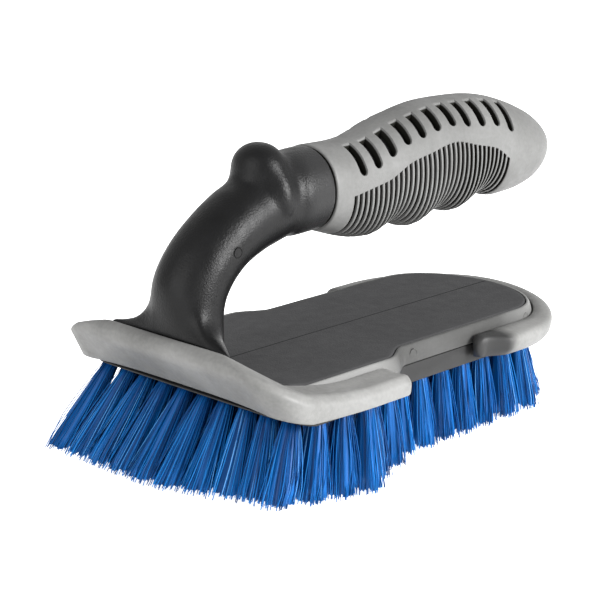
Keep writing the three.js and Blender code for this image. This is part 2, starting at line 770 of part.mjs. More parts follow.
function screw() {
  const headBottom = BLOCK_BOTTOM + COUNTERBORE_DEPTH - SCREW_HEAD_HEIGHT;
  const shoulder = headBottom + SCREW_HEAD_HEIGHT;
  const head = uprightCylinder(SCREW_HEAD_RADIUS, headBottom, shoulder, [0, 0]);
  const shank = uprightCylinder(SCREW_SHANK_RADIUS, shoulder - 0.5, SCREW_TIP, [0, 0], 8);
  const recess = new THREE.BoxGeometry(4.2, 1, 2.4);
  recess.translate(0, 0, headBottom);
  const crossRecess = new THREE.BoxGeometry(1, 4.2, 2.4);
  crossRecess.translate(0, 0, headBottom);
  return cut(unite([head, shank]), [recess, crossRecess]);
}

function bossesWithHoles(frame) {
  const places = screwPlaces();
  const bosses = places.map((place) => {
    return uprightCylinder(BOSS_RADIUS, BOSS_BOTTOM, DECK_TOP - 1, place);
  });
  const holes = places.map((place) => {
    return uprightCylinder(SCREW_SHANK_RADIUS + GAP, BOSS_BOTTOM - 1, SCREW_TIP + GAP, place, 8);
  });
  return cut(frame.add(unite(bosses)), holes);
}

function bristleBlock() {
  const places = screwPlaces();
  const bossPockets = places.map((place) => {
    return uprightCylinder(BOSS_RADIUS + GAP, BOSS_BOTTOM - GAP, DECK_TOP, place);
  });
  const headPockets = places.map((place) => {
    const top = BLOCK_BOTTOM + COUNTERBORE_DEPTH + GAP;
    return uprightCylinder(SCREW_HEAD_RADIUS + GAP, BLOCK_BOTTOM - 2, top, place);
  });
  const shankHoles = places.map((place) => {
    return uprightCylinder(SCREW_SHANK_RADIUS + GAP, BLOCK_BOTTOM, BOSS_BOTTOM + 1, place, 8);
  });
  const tuftHoles = Array.from({ length: ROW_COUNT }, (_, row) => rowX(row)).flatMap((x) => {
    return tuftYs(x).map((y) => tuftHole(x, y));
  });
  return cut(blockBody(), [...bossPockets, ...headPockets, ...shankHoles, ...tuftHoles]);
}

// ---------------------------------------------------------------- the brush

function addPiece(group, name, geometry, materialName) {
  const mesh = new THREE.Mesh(geometry, material(materialName));
  mesh.name = name;
  group.add(mesh);
  return mesh;
}

function wheelBrush() {
  const brush = new THREE.Group();
  addPiece(brush, "handle_frame", toGeometry(bossesWithHoles(handleFrame())), "blackPlastic");
  addPiece(brush, "grip_sleeve", toGeometry(gripSleeve()), "greyRubber");
  addPiece(brush, "rim_band", rimBand(), "greyRubber");
  addPiece(brush, "front_bumper", frontBumper(), "greyRubber");
  addPiece(brush, "rear_bumper", rearBumper(), "greyRubber");
  addPiece(brush, "bristle_block", toGeometry(bristleBlock()), "greyPlastic");
  for (let row = 0; row < ROW_COUNT; row += 1) {
    const name = `tuft_row_${String(row + 1).padStart(2, "0")}`;
    addPiece(brush, name, toGeometry(tuftRow(row)), "blueBristle");
  }
  screwPlaces().forEach(([x, y], i) => {
    const mesh = addPiece(brush, `block_screw_${i + 1}`, toGeometry(screw()), "zincSteel");
    mesh.position.set(x, y, 0);
  });
  return brush;
}

export default wheelBrush();
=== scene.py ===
"""Looks of the hand wheel brush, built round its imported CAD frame.

Shapes are worked out in millimetres in the frame's own axes and turned into metres as each mesh
is made: +X runs to the free end of the grip, +Z up from the bristle tips.
"""

import json
import math

import bmesh
import bpy
import numpy as np
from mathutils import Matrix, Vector


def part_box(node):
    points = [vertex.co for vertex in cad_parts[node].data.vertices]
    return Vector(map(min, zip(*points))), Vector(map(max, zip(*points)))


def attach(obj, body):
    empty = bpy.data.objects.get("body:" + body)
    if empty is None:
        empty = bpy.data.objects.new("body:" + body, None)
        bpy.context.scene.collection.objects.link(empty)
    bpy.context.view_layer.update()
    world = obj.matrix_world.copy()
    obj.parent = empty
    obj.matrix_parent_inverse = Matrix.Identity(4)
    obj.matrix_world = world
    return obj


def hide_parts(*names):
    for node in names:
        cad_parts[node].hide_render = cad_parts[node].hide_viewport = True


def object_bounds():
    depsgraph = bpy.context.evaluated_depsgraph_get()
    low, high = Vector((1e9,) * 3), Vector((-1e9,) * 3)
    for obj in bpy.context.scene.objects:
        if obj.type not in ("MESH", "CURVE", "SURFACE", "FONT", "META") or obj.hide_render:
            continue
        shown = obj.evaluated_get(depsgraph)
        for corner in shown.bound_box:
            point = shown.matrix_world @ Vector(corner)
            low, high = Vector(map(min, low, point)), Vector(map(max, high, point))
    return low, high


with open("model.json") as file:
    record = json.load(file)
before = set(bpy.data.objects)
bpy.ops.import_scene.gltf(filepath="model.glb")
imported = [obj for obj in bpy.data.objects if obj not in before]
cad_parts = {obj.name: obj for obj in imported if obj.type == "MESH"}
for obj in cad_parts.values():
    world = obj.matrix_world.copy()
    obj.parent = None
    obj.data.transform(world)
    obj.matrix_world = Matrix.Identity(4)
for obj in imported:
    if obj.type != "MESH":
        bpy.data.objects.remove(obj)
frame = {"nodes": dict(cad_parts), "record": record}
cad_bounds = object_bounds()

# ---------------------------------------------------------------- driving dimensions

MM = 0.001
GAP = 0.3


def node_box(name):
    """Lowest and highest corners of a CAD node, in millimetres."""
    low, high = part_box(name)
    return np.array(low) / MM, np.array(high) / MM


mounts = {mount["name"]: mount for mount in frame["record"]["mounts"]}
_, frame_high = node_box("handle_frame")
sleeve_low, sleeve_high = node_box("grip_sleeve")
block_low, block_high = node_box("bristle_block")
front_low, front_high = node_box("front_bumper")
rear_low, _ = node_box("rear_bumper")
rim_low, rim_high = node_box("rim_band")

# Deck.
DECK_TOP = mounts["deck_top"]["pos_m"][2] / MM
DECK_THICKNESS = 3.5
DECK_FRONT = front_low[0] + 4.2
DECK_FRONT_HALF_WIDTH = frame_high[1]
DECK_FRONT_CORNER = 10
DECK_WAIST_HALF_WIDTH = 31.8
WAIST_START = -25.5
WAIST_END = -11.2
DECK_REAR_CENTRE = 52
DECK_REAR_REACH = 23
DECK_END_FLAT = 0.02
RAMP_START = -74
RAMP_HEIGHT = 13.6
RAMP_POWER = 1.6
SIDE_LIP_FULL = RAMP_START - 6
SIDE_LIP_START = -62
SIDE_LIP_HEIGHT = 3
SIDE_LIP_WIDTH = 9
SIDE_LIP_POWER = 1.5

# Grip.
SEAM_X = sleeve_low[0] - GAP
GRIP_END = sleeve_high[0]
COLLAR_RADIUS = 14.8
COLLAR_Z = DECK_TOP + 52.9
END_ROUNDING = 16
END_FLAT_SHARE = 0.05
GRIP_SQUARE = 2.15
SLEEVE_WALL = 3
CORE_END = frame_high[0]
FINGER_PITCH = 24
FIRST_FINGER_X = -1
FINGER_COUNT = 4
FINGER_DEPTH = 3.6
HANG_HOLE_X = 90
HANG_HOLE_RADIUS = 3.5

# Rim and block.
RIM_START = rim_low[0]
RIM_THICKNESS = 2.3
RIM_TOP = rim_high[2]
PARTING_Z = rim_low[2] - GAP
BLOCK_BOTTOM = block_low[2]
BLOCK_FRONT = block_low[0]
BLOCK_FRONT_SIDE = block_high[1]
BLOCK_CORNER = 10
BLOCK_OVERHANG = 2.1
BLOCK_RISE_START = -40
BLOCK_FRONT_RISE = 8
# Under the front bumper the block is wider and thinner, as a flange on each side that draws in
# to the deck's width between these places.
FLANGE_BOTTOM = DECK_TOP - 10.2
FLANGE_INNER_SIDE = 34
FLANGE_OUTER_SIDE = 41.2
FLANGE_THICKNESS = 2.7
FLANGE_TOP_LIMIT = DECK_TOP - 5.55
DRAW_IN_START = -39
DRAW_IN_END = -30

# Tufts.
ROW_COUNT = 14
FIRST_ROW_X = BLOCK_FRONT + 7
ROW_PITCH = 11.3
TUFT_PITCH = 9.3
TUFT_EDGE_MARGIN = 5.5
TUFT_SEAT_DEPTH = 2.2

# ---------------------------------------------------------------- shape helpers

# Edges that turn more sharply than this are shaded as edges.
SHARP_DEGREES = 35
# A rounded corner may take up this share of the edges on both sides of it.
CORNER_LIMIT = 0.45
CORNER_STEPS = 5
# Section of an ejector pin's mark from its rim inwards: share of its radius, height.
PIN_MARK = [(1.0, -0.6), (1.0, 0.08), (0.95, 0.17), (0.86, 0.17), (0.78, 0.04), (0.4, 0.04)]


def smooth_step(low, high, value):
    """0 up to low, 1 from high on, and a soft rise between."""
    t = np.clip((value - low) / (high - low), 0, 1)
    return t * t * (3 - 2 * t)


def profile(pairs):
    """A smooth function of x through (x, value) pairs, level beyond the first and the last."""
    xs, values = np.array(pairs, float).T
    slopes = np.gradient(values, xs)
    slopes[1:-1] = (values[2:] - values[:-2]) / (xs[2:] - xs[:-2])

    def at(x):
        x = np.clip(x, xs[0], xs[-1])
        i = np.clip(np.searchsorted(xs, x) - 1, 0, len(xs) - 2)
        width = xs[i + 1] - xs[i]
        t = (x - xs[i]) / width
        flat = 2 * t**3 - 3 * t**2 + 1
        bend = (t**3 - 2 * t**2 + t) * slopes[i] + (t**3 - t**2) * slopes[i + 1]
        return flat * values[i] + (1 - flat) * values[i + 1] + bend * width

    return at


def loft(rings):
    """A closed skin through rings (ring, point, xyz), with a fan of faces over each end."""
    rings = np.asarray(rings, float)
    count, sides = rings.shape[:2]
    index = np.arange(count * sides).reshape(count, sides)
    here, there = index[:-1], index[1:]
    quads = np.stack([here, np.roll(here, -1, 1), np.roll(there, -1, 1), there], axis=-1)
    faces = quads.reshape(-1, 4).tolist()
    first_middle = count * sides
    for p in range(sides):
        after = (p + 1) % sides
        faces.append([int(index[0, after]), int(index[0, p]), first_middle])
        faces.append([int(index[-1, p]), int(index[-1, after]), first_middle + 1])
    return np.vstack([rings.reshape(-1, 3), rings[0].mean(0), rings[-1].mean(0)]), faces


def joined(shapes):
    """Several shapes as one, without joining their surfaces."""
    verts = []
    faces = []
    start = 0
    for shape_verts, shape_faces in shapes:
        verts.append(shape_verts)
        faces.extend([[start + i for i in face] for face in shape_faces])
        start += len(shape_verts)
    return np.vstack(verts), faces


def rounded_sections(corners, radii):
    """Closed sections with rounded corners, from (section, corner, xyz) and a radius for each."""
    before = np.roll(corners, 1, axis=1) - corners
    after = np.roll(corners, -1, axis=1) - corners
    t = np.linspace(0, 1, CORNER_STEPS)[None, None, :, None]
    pulls = []
    for side in (before, after):
        length = np.linalg.norm(side, axis=-1, keepdims=True)
        pull = np.minimum(np.array(radii)[None, :, None], CORNER_LIMIT * length)
        pulls.append((corners + side / length * pull)[:, :, None, :])
    middle = corners[:, :, None, :]
    curve = (1 - t) ** 2 * pulls[0] + 2 * t * (1 - t) * middle + t**2 * pulls[1]
    return curve.reshape(len(corners), -1, 3)


def circle(sides):
    """Even points round a circle of radius 1, as (point, xy)."""
    turn = np.linspace(0, 2 * math.pi, sides, endpoint=False)
    return np.stack([np.cos(turn), np.sin(turn)], axis=1)


def at_height(flat, z):
    """Points (point, xy) lifted to z, which is one height or one for each point."""
    return np.column_stack([flat, np.broadcast_to(z, len(flat))])


def low_disc(middle, out, radius):
    """The round mark that an ejector pin leaves: a thin raised edge round a flat."""
    out = np.array(out) / np.linalg.norm(out)
    across = np.cross((0, 0, 1), out)
    across /= np.linalg.norm(across)
    flat = circle(40) @ np.stack([across, np.cross(out, across)])
    return loft([middle + radius * share * flat + out * lift for share, lift in PIN_MARK])


def in_scene(name, data):
    """A new object that shows a mesh, a light or a camera."""
    thing = bpy.data.objects.new(name, data)
    bpy.context.scene.collection.objects.link(thing)
    return thing


def new_piece(name, shape):
    """A mesh object from a shape in millimetres, with its faces turned out."""
    verts, faces = shape
    mesh = bpy.data.meshes.new(name)
    mesh.from_pydata((verts * MM).tolist(), [], faces)
    solid = bmesh.new()
    solid.from_mesh(mesh)
    bmesh.ops.recalc_face_normals(solid, faces=solid.faces)
    solid.to_mesh(mesh)
    solid.free()
    mesh.shade_smooth()
    mesh.set_sharp_from_angle(angle=math.radians(SHARP_DEGREES))
    return in_scene(name, mesh)


def apply_modifiers(piece):
    """Gives a piece the mesh that its modifiers make of it."""
    graph = bpy.context.evaluated_depsgraph_get()
    made = bpy.data.meshes.new_from_object(piece.evaluated_get(graph))
    made.name = piece.data.name
    piece.modifiers.clear()
    piece.data = made


def cut_away(piece, shape):
    """Cuts a closed shape out of a piece."""
    tool = new_piece(piece.name + "_cutter", shape)
    cut = piece.modifiers.new("cut", "BOOLEAN")
    cut.operation = "DIFFERENCE"
    cut.solver = "MANIFOLD"
    cut.object = tool
    apply_modifiers(piece)
    bpy.data.objects.remove(tool)


def settle(piece, material, slot, *nodes):
    """Gives a finished piece its material and its place in the frame."""
    piece.data.materials.clear()
    piece.data.materials.append(material)
    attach(piece, "root")
    if nodes:
        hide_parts(*nodes)


# ---------------------------------------------------------------- materials


# Most of a noise's values lie between these.
NOISE_RANGE = (0.3, 0.7)


class Nodes:
    """A short way to write a node material round one Principled shader."""

    def __init__(self, name):
        self.material = bpy.data.materials.new(name)
        self.material.use_nodes = True
        self.tree = self.material.node_tree
        self.shader = self.tree.nodes["Principled BSDF"]

    def add(self, kind, **values):
        node = self.tree.nodes.new(kind)
        for key, value in values.items():
            setattr(node, key, value)
        return node

    def link(self, source, target):
        self.tree.links.new(source, target)

    def place(self):
        """Coordinates in the brush's own space, in metres."""
        return self.add("ShaderNodeTexCoord").outputs["Object"]

    def along(self, axis, start, end, at_start=0, at_end=1):
        """A value that goes from at_start to at_end between two places on an axis, in mm."""
        separate = self.add("ShaderNodeSeparateXYZ")
        self.link(self.place(), separate.inputs["Vector"])
        return self.spread(separate.outputs[axis], start * MM, end * MM, at_start, at_end)

    def attribute(self, name):
        return self.add("ShaderNodeAttribute", attribute_name=name).outputs["Fac"]

    def noise(self, scale, detail, stretch=(1, 1, 1)):
        mapping = self.add("ShaderNodeMapping")
        mapping.inputs["Scale"].default_value = stretch
        self.link(self.place(), mapping.inputs["Vector"])
        noise = self.add("ShaderNodeTexNoise")
        noise.inputs["Scale"].default_value = scale
        noise.inputs["Detail"].default_value = detail
        self.link(mapping.outputs["Vector"], noise.inputs["Vector"])
        return noise.outputs["Fac"]

    def spread(self, value, low, high, to_low, to_high):
        """A value with the range from low to high moved to the range from to_low to to_high."""
        ranged = self.add("ShaderNodeMapRange")
        ranged.inputs["From Min"].default_value = low
        ranged.inputs["From Max"].default_value = high
        ranged.inputs["To Min"].default_value = to_low
        ranged.inputs["To Max"].default_value = to_high
        self.link(value, ranged.inputs["Value"])
        return ranged.outputs["Result"]

    def mottle(self, scale, detail, low=0, high=1, stretch=(1, 1, 1)):
        """Cloudy values from low to high."""
        return self.spread(self.noise(scale, detail, stretch), *NOISE_RANGE, low, high)

    def maths(self, operation, a, b):
        node = self.add("ShaderNodeMath", operation=operation)
        for socket, value in zip(node.inputs, (a, b)):
            if isinstance(value, (int, float)):
                socket.default_value = value
            else:
                self.link(value, socket)
        return node.outputs[0]

    def mix(self, factor, a, b):
        node = self.add("ShaderNodeMix", data_type="RGBA")
        self.link(factor, node.inputs["Factor"])
        for socket, value in ((node.inputs[6], a), (node.inputs[7], b)):
            if isinstance(value, tuple):
                socket.default_value = (*value, 1)
            else:
                self.link(value, socket)
        return node.outputs[2]

    def ramp(self, value, stops):
        node = self.add("ShaderNodeValToRGB")
        elements = node.color_ramp.elements
        while len(elements) < len(stops):
            elements.new(0.5)
        for element, (place, colour) in zip(elements, stops):
            element.position = place
            element.color = (*colour, 1)
        self.link(value, node.inputs["Fac"])
        return node.outputs["Color"]

    def bump(self, height, strength, distance):
        node = self.add("ShaderNodeBump")
        node.inputs["Strength"].default_value = strength
        node.inputs["Distance"].default_value = distance
        self.link(height, node.inputs["Height"])
        self.link(node.outputs["Normal"], self.shader.inputs["Normal"])

    def hold(self, socket, value):
        """Sets a socket of the shader to a constant."""
        self.shader.inputs[socket].default_value = value

    def colour(self, value):
        self.link(value, self.shader.inputs["Base Color"])

    def roughness(self, value):
        self.link(value, self.shader.inputs["Roughness"])


def handle_plastic():
    """Black moulding: polished on the arm, greyer at the collar, evenly matt on the deck."""
    nodes = Nodes("handle_plastic")
    low = nodes.along("Z", DECK_TOP + 1.5, DECK_TOP + 5, 1, 0)
    behind_ramp = nodes.along("X", -78, -70)
    on_deck = nodes.maths("MULTIPLY", low, behind_ramp)
    mottle = nodes.mottle(70, 4)
    arm = nodes.mix(mottle, (0.0015, 0.0015, 0.0016), (0.004, 0.004, 0.0042))
    deck = nodes.mix(mottle, (0.028, 0.028, 0.029), (0.033, 0.033, 0.034))
    arm = nodes.mix(nodes.along("X", -44, -34), arm, (0.012, 0.012, 0.0122))
    nodes.colour(nodes.mix(on_deck, arm, deck))
    polish = nodes.spread(nodes.noise(260, 5, (1, 1, 0.3)), 0.35, 0.7, 0.32, 0.44)
    nodes.roughness(nodes.maths("ADD", polish, nodes.maths("MULTIPLY", on_deck, 0.4)))
    nodes.hold("Specular IOR Level", 0.13)
    nodes.bump(nodes.noise(1500, 4), 0.35, 0.0004)
    return nodes.material


def deck_line_plastic():
    """The darker witness line that the moulding leaves along the deck."""
    nodes = Nodes("deck_line_plastic")
    mottle = nodes.mottle(300, 3)
    nodes.colour(nodes.mix(mottle, (0.005, 0.005, 0.005), (0.008, 0.008, 0.008)))
    nodes.hold("Roughness", 0.8)
    nodes.hold("Specular IOR Level", 0.0)
    return nodes.material


def mottled_rubber(nodes, light, dark, sheen):
    """Faintly cloudy and grained grey: sets all but the colour, which it returns."""
    cloud = nodes.spread(nodes.noise(38, 6), 0.36, 0.66, 0.0, 0.7)
    grain = nodes.mottle(750, 3, 0, 0.3)
    nodes.hold("Specular IOR Level", sheen)
    nodes.roughness(nodes.mottle(220, 4, 0.44, 0.62))
    nodes.bump(nodes.noise(1900, 2), 0.16, 0.0003)
    return nodes.mix(nodes.maths("ADD", cloud, grain), dark, light)


def grip_rubber():
    """The sleeve's rubber, with painted shade down in its grooves and slots: darker and less
    reflective the deeper below the skin.
    """
    nodes = Nodes("grip_rubber")
    sheen = 0.25
    base = mottled_rubber(nodes, (0.106, 0.106, 0.104), (0.068, 0.068, 0.066), sheen)
    # Painted shade: the deeper below the skin, the darker the rubber and the weaker its reflection.
    deep = nodes.spread(nodes.attribute("below"), 0.5, 0.9, 0, 1)
    nodes.colour(nodes.mix(deep, base, (0.008, 0.008, 0.0068)))
    nodes.link(nodes.spread(deep, 0, 1, sheen, 0), nodes.shader.inputs["Specular IOR Level"])
    return nodes.material


def bumper_rubber():
    """The bumpers' rubber, with painted shade on the low front ends of the rear bumper."""
    nodes = Nodes("bumper_rubber")
    base = mottled_rubber(nodes, (0.150, 0.150, 0.146), (0.086, 0.086, 0.083), 0.25)
    behind_front = nodes.along("X", REAR_BUMPER_END - 4, REAR_BUMPER_END - 2)
    before_rear = nodes.along("X", REAR_BUMPER_END + 10, REAR_BUMPER_END + 15, 1, 0)
    # Painted shade on the front ends of the rear bumper.
    ends = nodes.maths("MULTIPLY", behind_front, before_rear)
    nodes.colour(nodes.mix(ends, base, (0.016, 0.016, 0.016)))
    return nodes.material


def rim_rubber():
    """The band's rubber: dark along the waist, with painted light that makes it pale under the
    front bumper and at the rear.
    """
    nodes = Nodes("rim_rubber")
    base = mottled_rubber(nodes, (0.046, 0.046, 0.045), (0.030, 0.030, 0.029), 0.15)
    # Painted light: paler under the front bumper and at the rear.
    pale = nodes.maths("ADD", nodes.along("X", -34, -18, 1, 0), nodes.along("X", 40, 68))
    nodes.colour(nodes.mix(pale, base, (0.140, 0.140, 0.137)))
    return nodes.material


def block_plastic():
    """Dark grey moulding, slightly streaked where it filled the mould."""
    nodes = Nodes("block_plastic")
    streak = nodes.mottle(60, 4, stretch=(0.4, 1, 2))
    nodes.colour(nodes.mix(streak, (0.014, 0.014, 0.014), (0.020, 0.020, 0.020)))
    nodes.hold("Specular IOR Level", 0.12)
    nodes.roughness(nodes.mottle(200, 3, 0.42, 0.55))
    nodes.bump(nodes.noise(1500, 2), 0.1, 0.0003)
    return nodes.material


def bristle_fibre():
    """Blue filament: each strand has its own tone, with painted shade on the hearts and inner tufts
    and where the strands go into the block.
    """
    nodes = Nodes("bristle_fibre")
    shades = [
        (0.0, (0.0, 0.024, 0.10)),
        (0.3, (0.0, 0.060, 0.22)),
        (0.65, (0.001, 0.100, 0.34)),
        (0.9, (0.006, 0.150, 0.45)),
        (1.0, (0.10, 0.30, 0.62)),
    ]
    tint = nodes.ramp(nodes.attribute("strand"), shades)
    # Painted shade where the strands go into the block.
    painted_root_shade = nodes.along("Z", 22, 30, 0, 0.45)
    nodes.colour(nodes.mix(painted_root_shade, tint, (0.002, 0.02, 0.09)))
    nodes.hold("Roughness", 0.42)
    nodes.hold("Specular IOR Level", 0.16)
    nodes.bump(nodes.noise(900, 2, (1, 1, 0.2)), 0.1, 0.0002)
    return nodes.material


def zinc_steel():
    nodes = Nodes("zinc_steel")
    dull = nodes.mottle(500, 4)
    nodes.colour(nodes.mix(dull, (0.52, 0.53, 0.55), (0.66, 0.67, 0.69)))
    nodes.hold("Metallic", 1.0)
    nodes.roughness(nodes.mottle(900, 3, 0.25, 0.45))
    return nodes.material


# ---------------------------------------------------------------- deck outline


def round_corner(x, front, half_width, radius):
    """How far x lies inside a round front corner, and the half width there."""
    inset = np.clip(front + radius - x, 0, radius)
    return inset, half_width - radius + np.sqrt(radius**2 - inset**2)


def deck_half_width(x):
    """Half width at x: round front corners, a step in to the waist, a round rear."""
    x = np.asarray(x, float)
    inset, corner = round_corner(x, DECK_FRONT, DECK_FRONT_HALF_WIDTH, DECK_FRONT_CORNER)
    narrowing = DECK_FRONT_HALF_WIDTH - DECK_WAIST_HALF_WIDTH
    side = DECK_FRONT_HALF_WIDTH - narrowing * smooth_step(WAIST_START, WAIST_END, x)
    along = np.clip((x - DECK_REAR_CENTRE) / DECK_REAR_REACH, 0, 1)
    return np.where(inset > 0, corner, side * np.sqrt(1 - along**2))


def deck_top(x, y):
    """Height of the deck: level, with a ramp at the front and lips at its sides there."""
    climb = np.clip((RAMP_START - x) / (RAMP_START - DECK_FRONT), 0, None) ** RAMP_POWER
    inner = DECK_FRONT_HALF_WIDTH - SIDE_LIP_WIDTH
    across = smooth_step(inner, DECK_FRONT_HALF_WIDTH, np.abs(y)) ** SIDE_LIP_POWER
    along = 1 - smooth_step(SIDE_LIP_FULL, SIDE_LIP_START, x)
    return DECK_TOP + RAMP_HEIGHT * climb + SIDE_LIP_HEIGHT * across * along * (1 - climb)


def crowded(front, rear, count):
    """Stations along X that crowd towards both ends."""
    return front + (rear - front) * (1 - np.cos(np.linspace(0, math.pi, count))) / 2


def deck_plate():
    stations = crowded(DECK_FRONT, DECK_REAR_CENTRE + DECK_REAR_REACH - DECK_END_FLAT, 220)
    across = np.linspace(-1, 1, 61)
    x = np.repeat(stations[:, None], len(across), axis=1)
    y = deck_half_width(stations)[:, None] * across[None, :]
    top = deck_top(x, y)
    over = np.stack([x, y, top], axis=-1)
    under = np.stack([x, y, top - DECK_THICKNESS], axis=-1)[:, ::-1]
    return loft(np.concatenate([over, under], axis=1))


# ---------------------------------------------------------------- handle moulding

# Sections of the arm: middle x, height above the deck, tilt in degrees, half thickness, half width.
ARM_SECTIONS = [
    (-80.6, -2.0, 0, 9.6, 13.0),
    (-80.9, 14.2, 2, 10.1, 13.4),
    (-81.7, 19.5, 9, 11.0, 13.5),
    (-81.1, 26.3, 22, 12.1, 13.3),
    (-75.8, 34.4, 36, 12.2, 13.0),
    (-68.3, 41.0, 50, 12.1, 12.8),
    (-57.8, 46.6, 66, 12.7, 12.9),
    (-47.5, 50.0, 78, 13.2, 13.2),
    (-41.0, 51.7, 85, 13.7, 13.6),
    (-37.0, 52.5, 89, 14.7, 14.7),
    (SEAM_X, 52.9, 90, COLLAR_RADIUS, COLLAR_RADIUS),
]
# Levels of the foot: height above the deck, half width, reach back, how far the front draws in.
FOOT_LEVELS = [
    (-2.0, 29.0, 22.0, 0),
    (RAMP_HEIGHT, 28.2, 20.5, 0),
    (14.9, 23.0, 18.5, 0.3),
    (17.2, 18.0, 16.0, 0.8),
    (20.5, 14.6, 12.5, 2.0),
    (26.0, 11.0, 8.0, 4.0),
]
FOOT_TAPER = 1.6
FOOT_POINT = 1.25
FOOT_END_HALF_WIDTH = 0.6
# Place of the mark: how far along the sections, and how far across from the arm's middle.
ARM_MARK = {"section": 4.8, "across": 0.6, "radius": 1.9, "sink": 0.02}
THUMB_BUMP = {"x": -48.5, "z": DECK_TOP + 63.3, "half": (9.2, 10.6, 9.2)}
# The bump runs down both sides of the arm as a low ridge.
THUMB_RIDGE = {"x": -47.5, "z": DECK_TOP + 54.5, "half": (8.0, 14.7, 14.5)}

# The moulding is made as one skin of this cell size, smoothed all over and then at its joints.
VOXEL = 0.6
ALL_OVER_ROUNDS = 5
FOOT_ROUNDS = 120
BUMP_ROUNDS = 70
SMOOTHING_STEP = 0.6
KEPT_FACES = 0.5
# Round the bump, in radii from its middle: smoothing begins, is full, starts to fade, has ended.
BUMP_JOINT = (0.75, 1.0, 1.35, 1.9)
BUMP_STRETCH = (1, 1.15, 1)
# Where smoothing of the foot fades: above the deck, low and high, then along X, then to the sides.
FOOT_FADE_LOW = (-1.5, 0.5)
FOOT_FADE_HIGH = (24, 38)
FOOT_FADE_BACK = (-69, -63)
FOOT_FADE_SIDE = (24, 29)

DECK_LINE_START = -66
DECK_LINE_END = DECK_REAR_CENTRE + DECK_REAR_REACH - 1.2
# Section of the witness line: y and height above the deck.
DECK_LINE_SECTION = [(-0.22, -0.2), (-0.16, 0.02), (0, 0.05), (0.16, 0.02), (0.22, -0.2)]


def squircle(angle, half_a, half_b, square=2.0):
    """Points of an oval that is squarer than an ellipse when square is above 2."""
    power = 2 / square
    cosine, sine = np.cos(angle), np.sin(angle)
    a = np.sign(cosine) * np.abs(cosine) ** power * half_a
    b = np.sign(sine) * np.abs(sine) ** power * half_b
    return a, b


def between(rows, places):
    """Rows of numbers smoothly interpolated at places, which count rows and parts of rows."""
    rows = np.array(rows, float)
    counts = np.arange(len(rows))
    columns = [profile(list(zip(counts, column)))(places) for column in rows.T]
    return np.stack(columns, axis=-1)


def resampled(rows, count):
    return between(rows, np.linspace(0, len(rows) - 1, count))


def arm():
    angle = np.linspace(0, 2 * math.pi, 96, endpoint=False)
    rings = []
    for x, up, tilt, thickness, width in resampled(ARM_SECTIONS, 110):
        lean = math.radians(tilt)
        a, b = squircle(angle, thickness, width)
        across = [x - a * math.cos(lean), b, DECK_TOP + up + a * math.sin(lean)]
        rings.append(np.stack(across, axis=1))
    return loft(rings)


def arm_mark():
    """The ejector pin's mark on the right hand side of the arm."""
    x, up, tilt, _, half_width = between(ARM_SECTIONS, ARM_MARK["section"])
    lean = math.radians(tilt)
    out = ARM_MARK["across"]
    face_y = ARM_MARK["sink"] - half_width
    middle = (x - out * math.cos(lean), face_y, DECK_TOP + up + out * math.sin(lean))
    return low_disc(middle, (0, -1, 0), ARM_MARK["radius"])


def foot():
    """The flare that joins the arm to the deck: pointed at the back, wide at the front."""
    t = np.linspace(0, 1, 40)
    rings = []
    for up, half_width, reach, drawn in resampled(FOOT_LEVELS, 50):
        x = DECK_FRONT + drawn + reach * t
        y = half_width * (1 - t**FOOT_TAPER) ** FOOT_POINT + FOOT_END_HALF_WIDTH * t
        left = np.stack([x, y], axis=1)
        right = np.stack([x, -y], axis=1)[::-1]
        rings.append(at_height(np.vstack([left, right]), DECK_TOP + up))
    return loft(rings)


def egg(x, z, half):
    """A closed round body on the brush's middle plane."""
    rings = []
    for rise in np.linspace(-0.49 * math.pi, 0.49 * math.pi, 40):
        flat = (x, 0) + circle(64) * (np.array(half[:2]) * math.cos(rise))
        rings.append(at_height(flat, z + half[2] * math.sin(rise)))
    return loft(rings)


def vertex_places(mesh):
    """Vertex places in metres, as (vertex, xyz)."""
    places = np.empty(len(mesh.vertices) * 3)
    mesh.vertices.foreach_get("co", places)
    return places.reshape(-1, 3)


def relax(mesh, weight, rounds):
    """Smooths a mesh where weight, one number for each vertex, is above 0."""
    places = vertex_places(mesh)
    edges = np.empty(len(mesh.edges) * 2, int)
    mesh.edges.foreach_get("vertices", edges)
    first, second = edges.reshape(-1, 2).T
    ends = np.concatenate([first, second])
    others = np.concatenate([second, first])
    neighbours = np.bincount(ends, minlength=len(places))
    for _ in range(rounds):
        sums = [np.bincount(ends, places[others, axis], len(places)) for axis in range(3)]
        mean = np.stack(sums, axis=1) / neighbours[:, None]
        places = places + SMOOTHING_STEP * weight[:, None] * (mean - places)
    mesh.vertices.foreach_set("co", places.ravel())
    mesh.update()


def near_bump(places):
    """1 where the bump meets the arm, falling to 0 away from it."""
    middle = np.array([THUMB_BUMP["x"], 0, THUMB_BUMP["z"]])
    begin, full, fade, end = THUMB_BUMP["half"][0] * np.array(BUMP_JOINT)
    away = np.linalg.norm((places - middle) / BUMP_STRETCH, axis=1)
    return smooth_step(begin, full, away) * (1 - smooth_step(fade, end, away))


def near_foot(places):
    """1 where the arm spreads into the foot and the deck, falling to 0 away from them."""
    up = places[:, 2] - DECK_TOP
    low = 1 - smooth_step(*FOOT_FADE_HIGH, up)
    high = smooth_step(*FOOT_FADE_LOW, up)
    back = 1 - smooth_step(*FOOT_FADE_BACK, places[:, 0])
    middle = 1 - smooth_step(*FOOT_FADE_SIDE, np.abs(places[:, 1]))
    return low * high * back * middle


def kept_above_deck(shape):
    """The shape with everything under the deck drawn up into the plate."""
    verts, faces = shape
    plate_middle = deck_top(np.maximum(verts[:, 0], DECK_FRONT), verts[:, 1]) - DECK_THICKNESS / 2
    kept = verts.copy()
    kept[:, 2] = np.maximum(verts[:, 2], plate_middle)
    return kept, faces


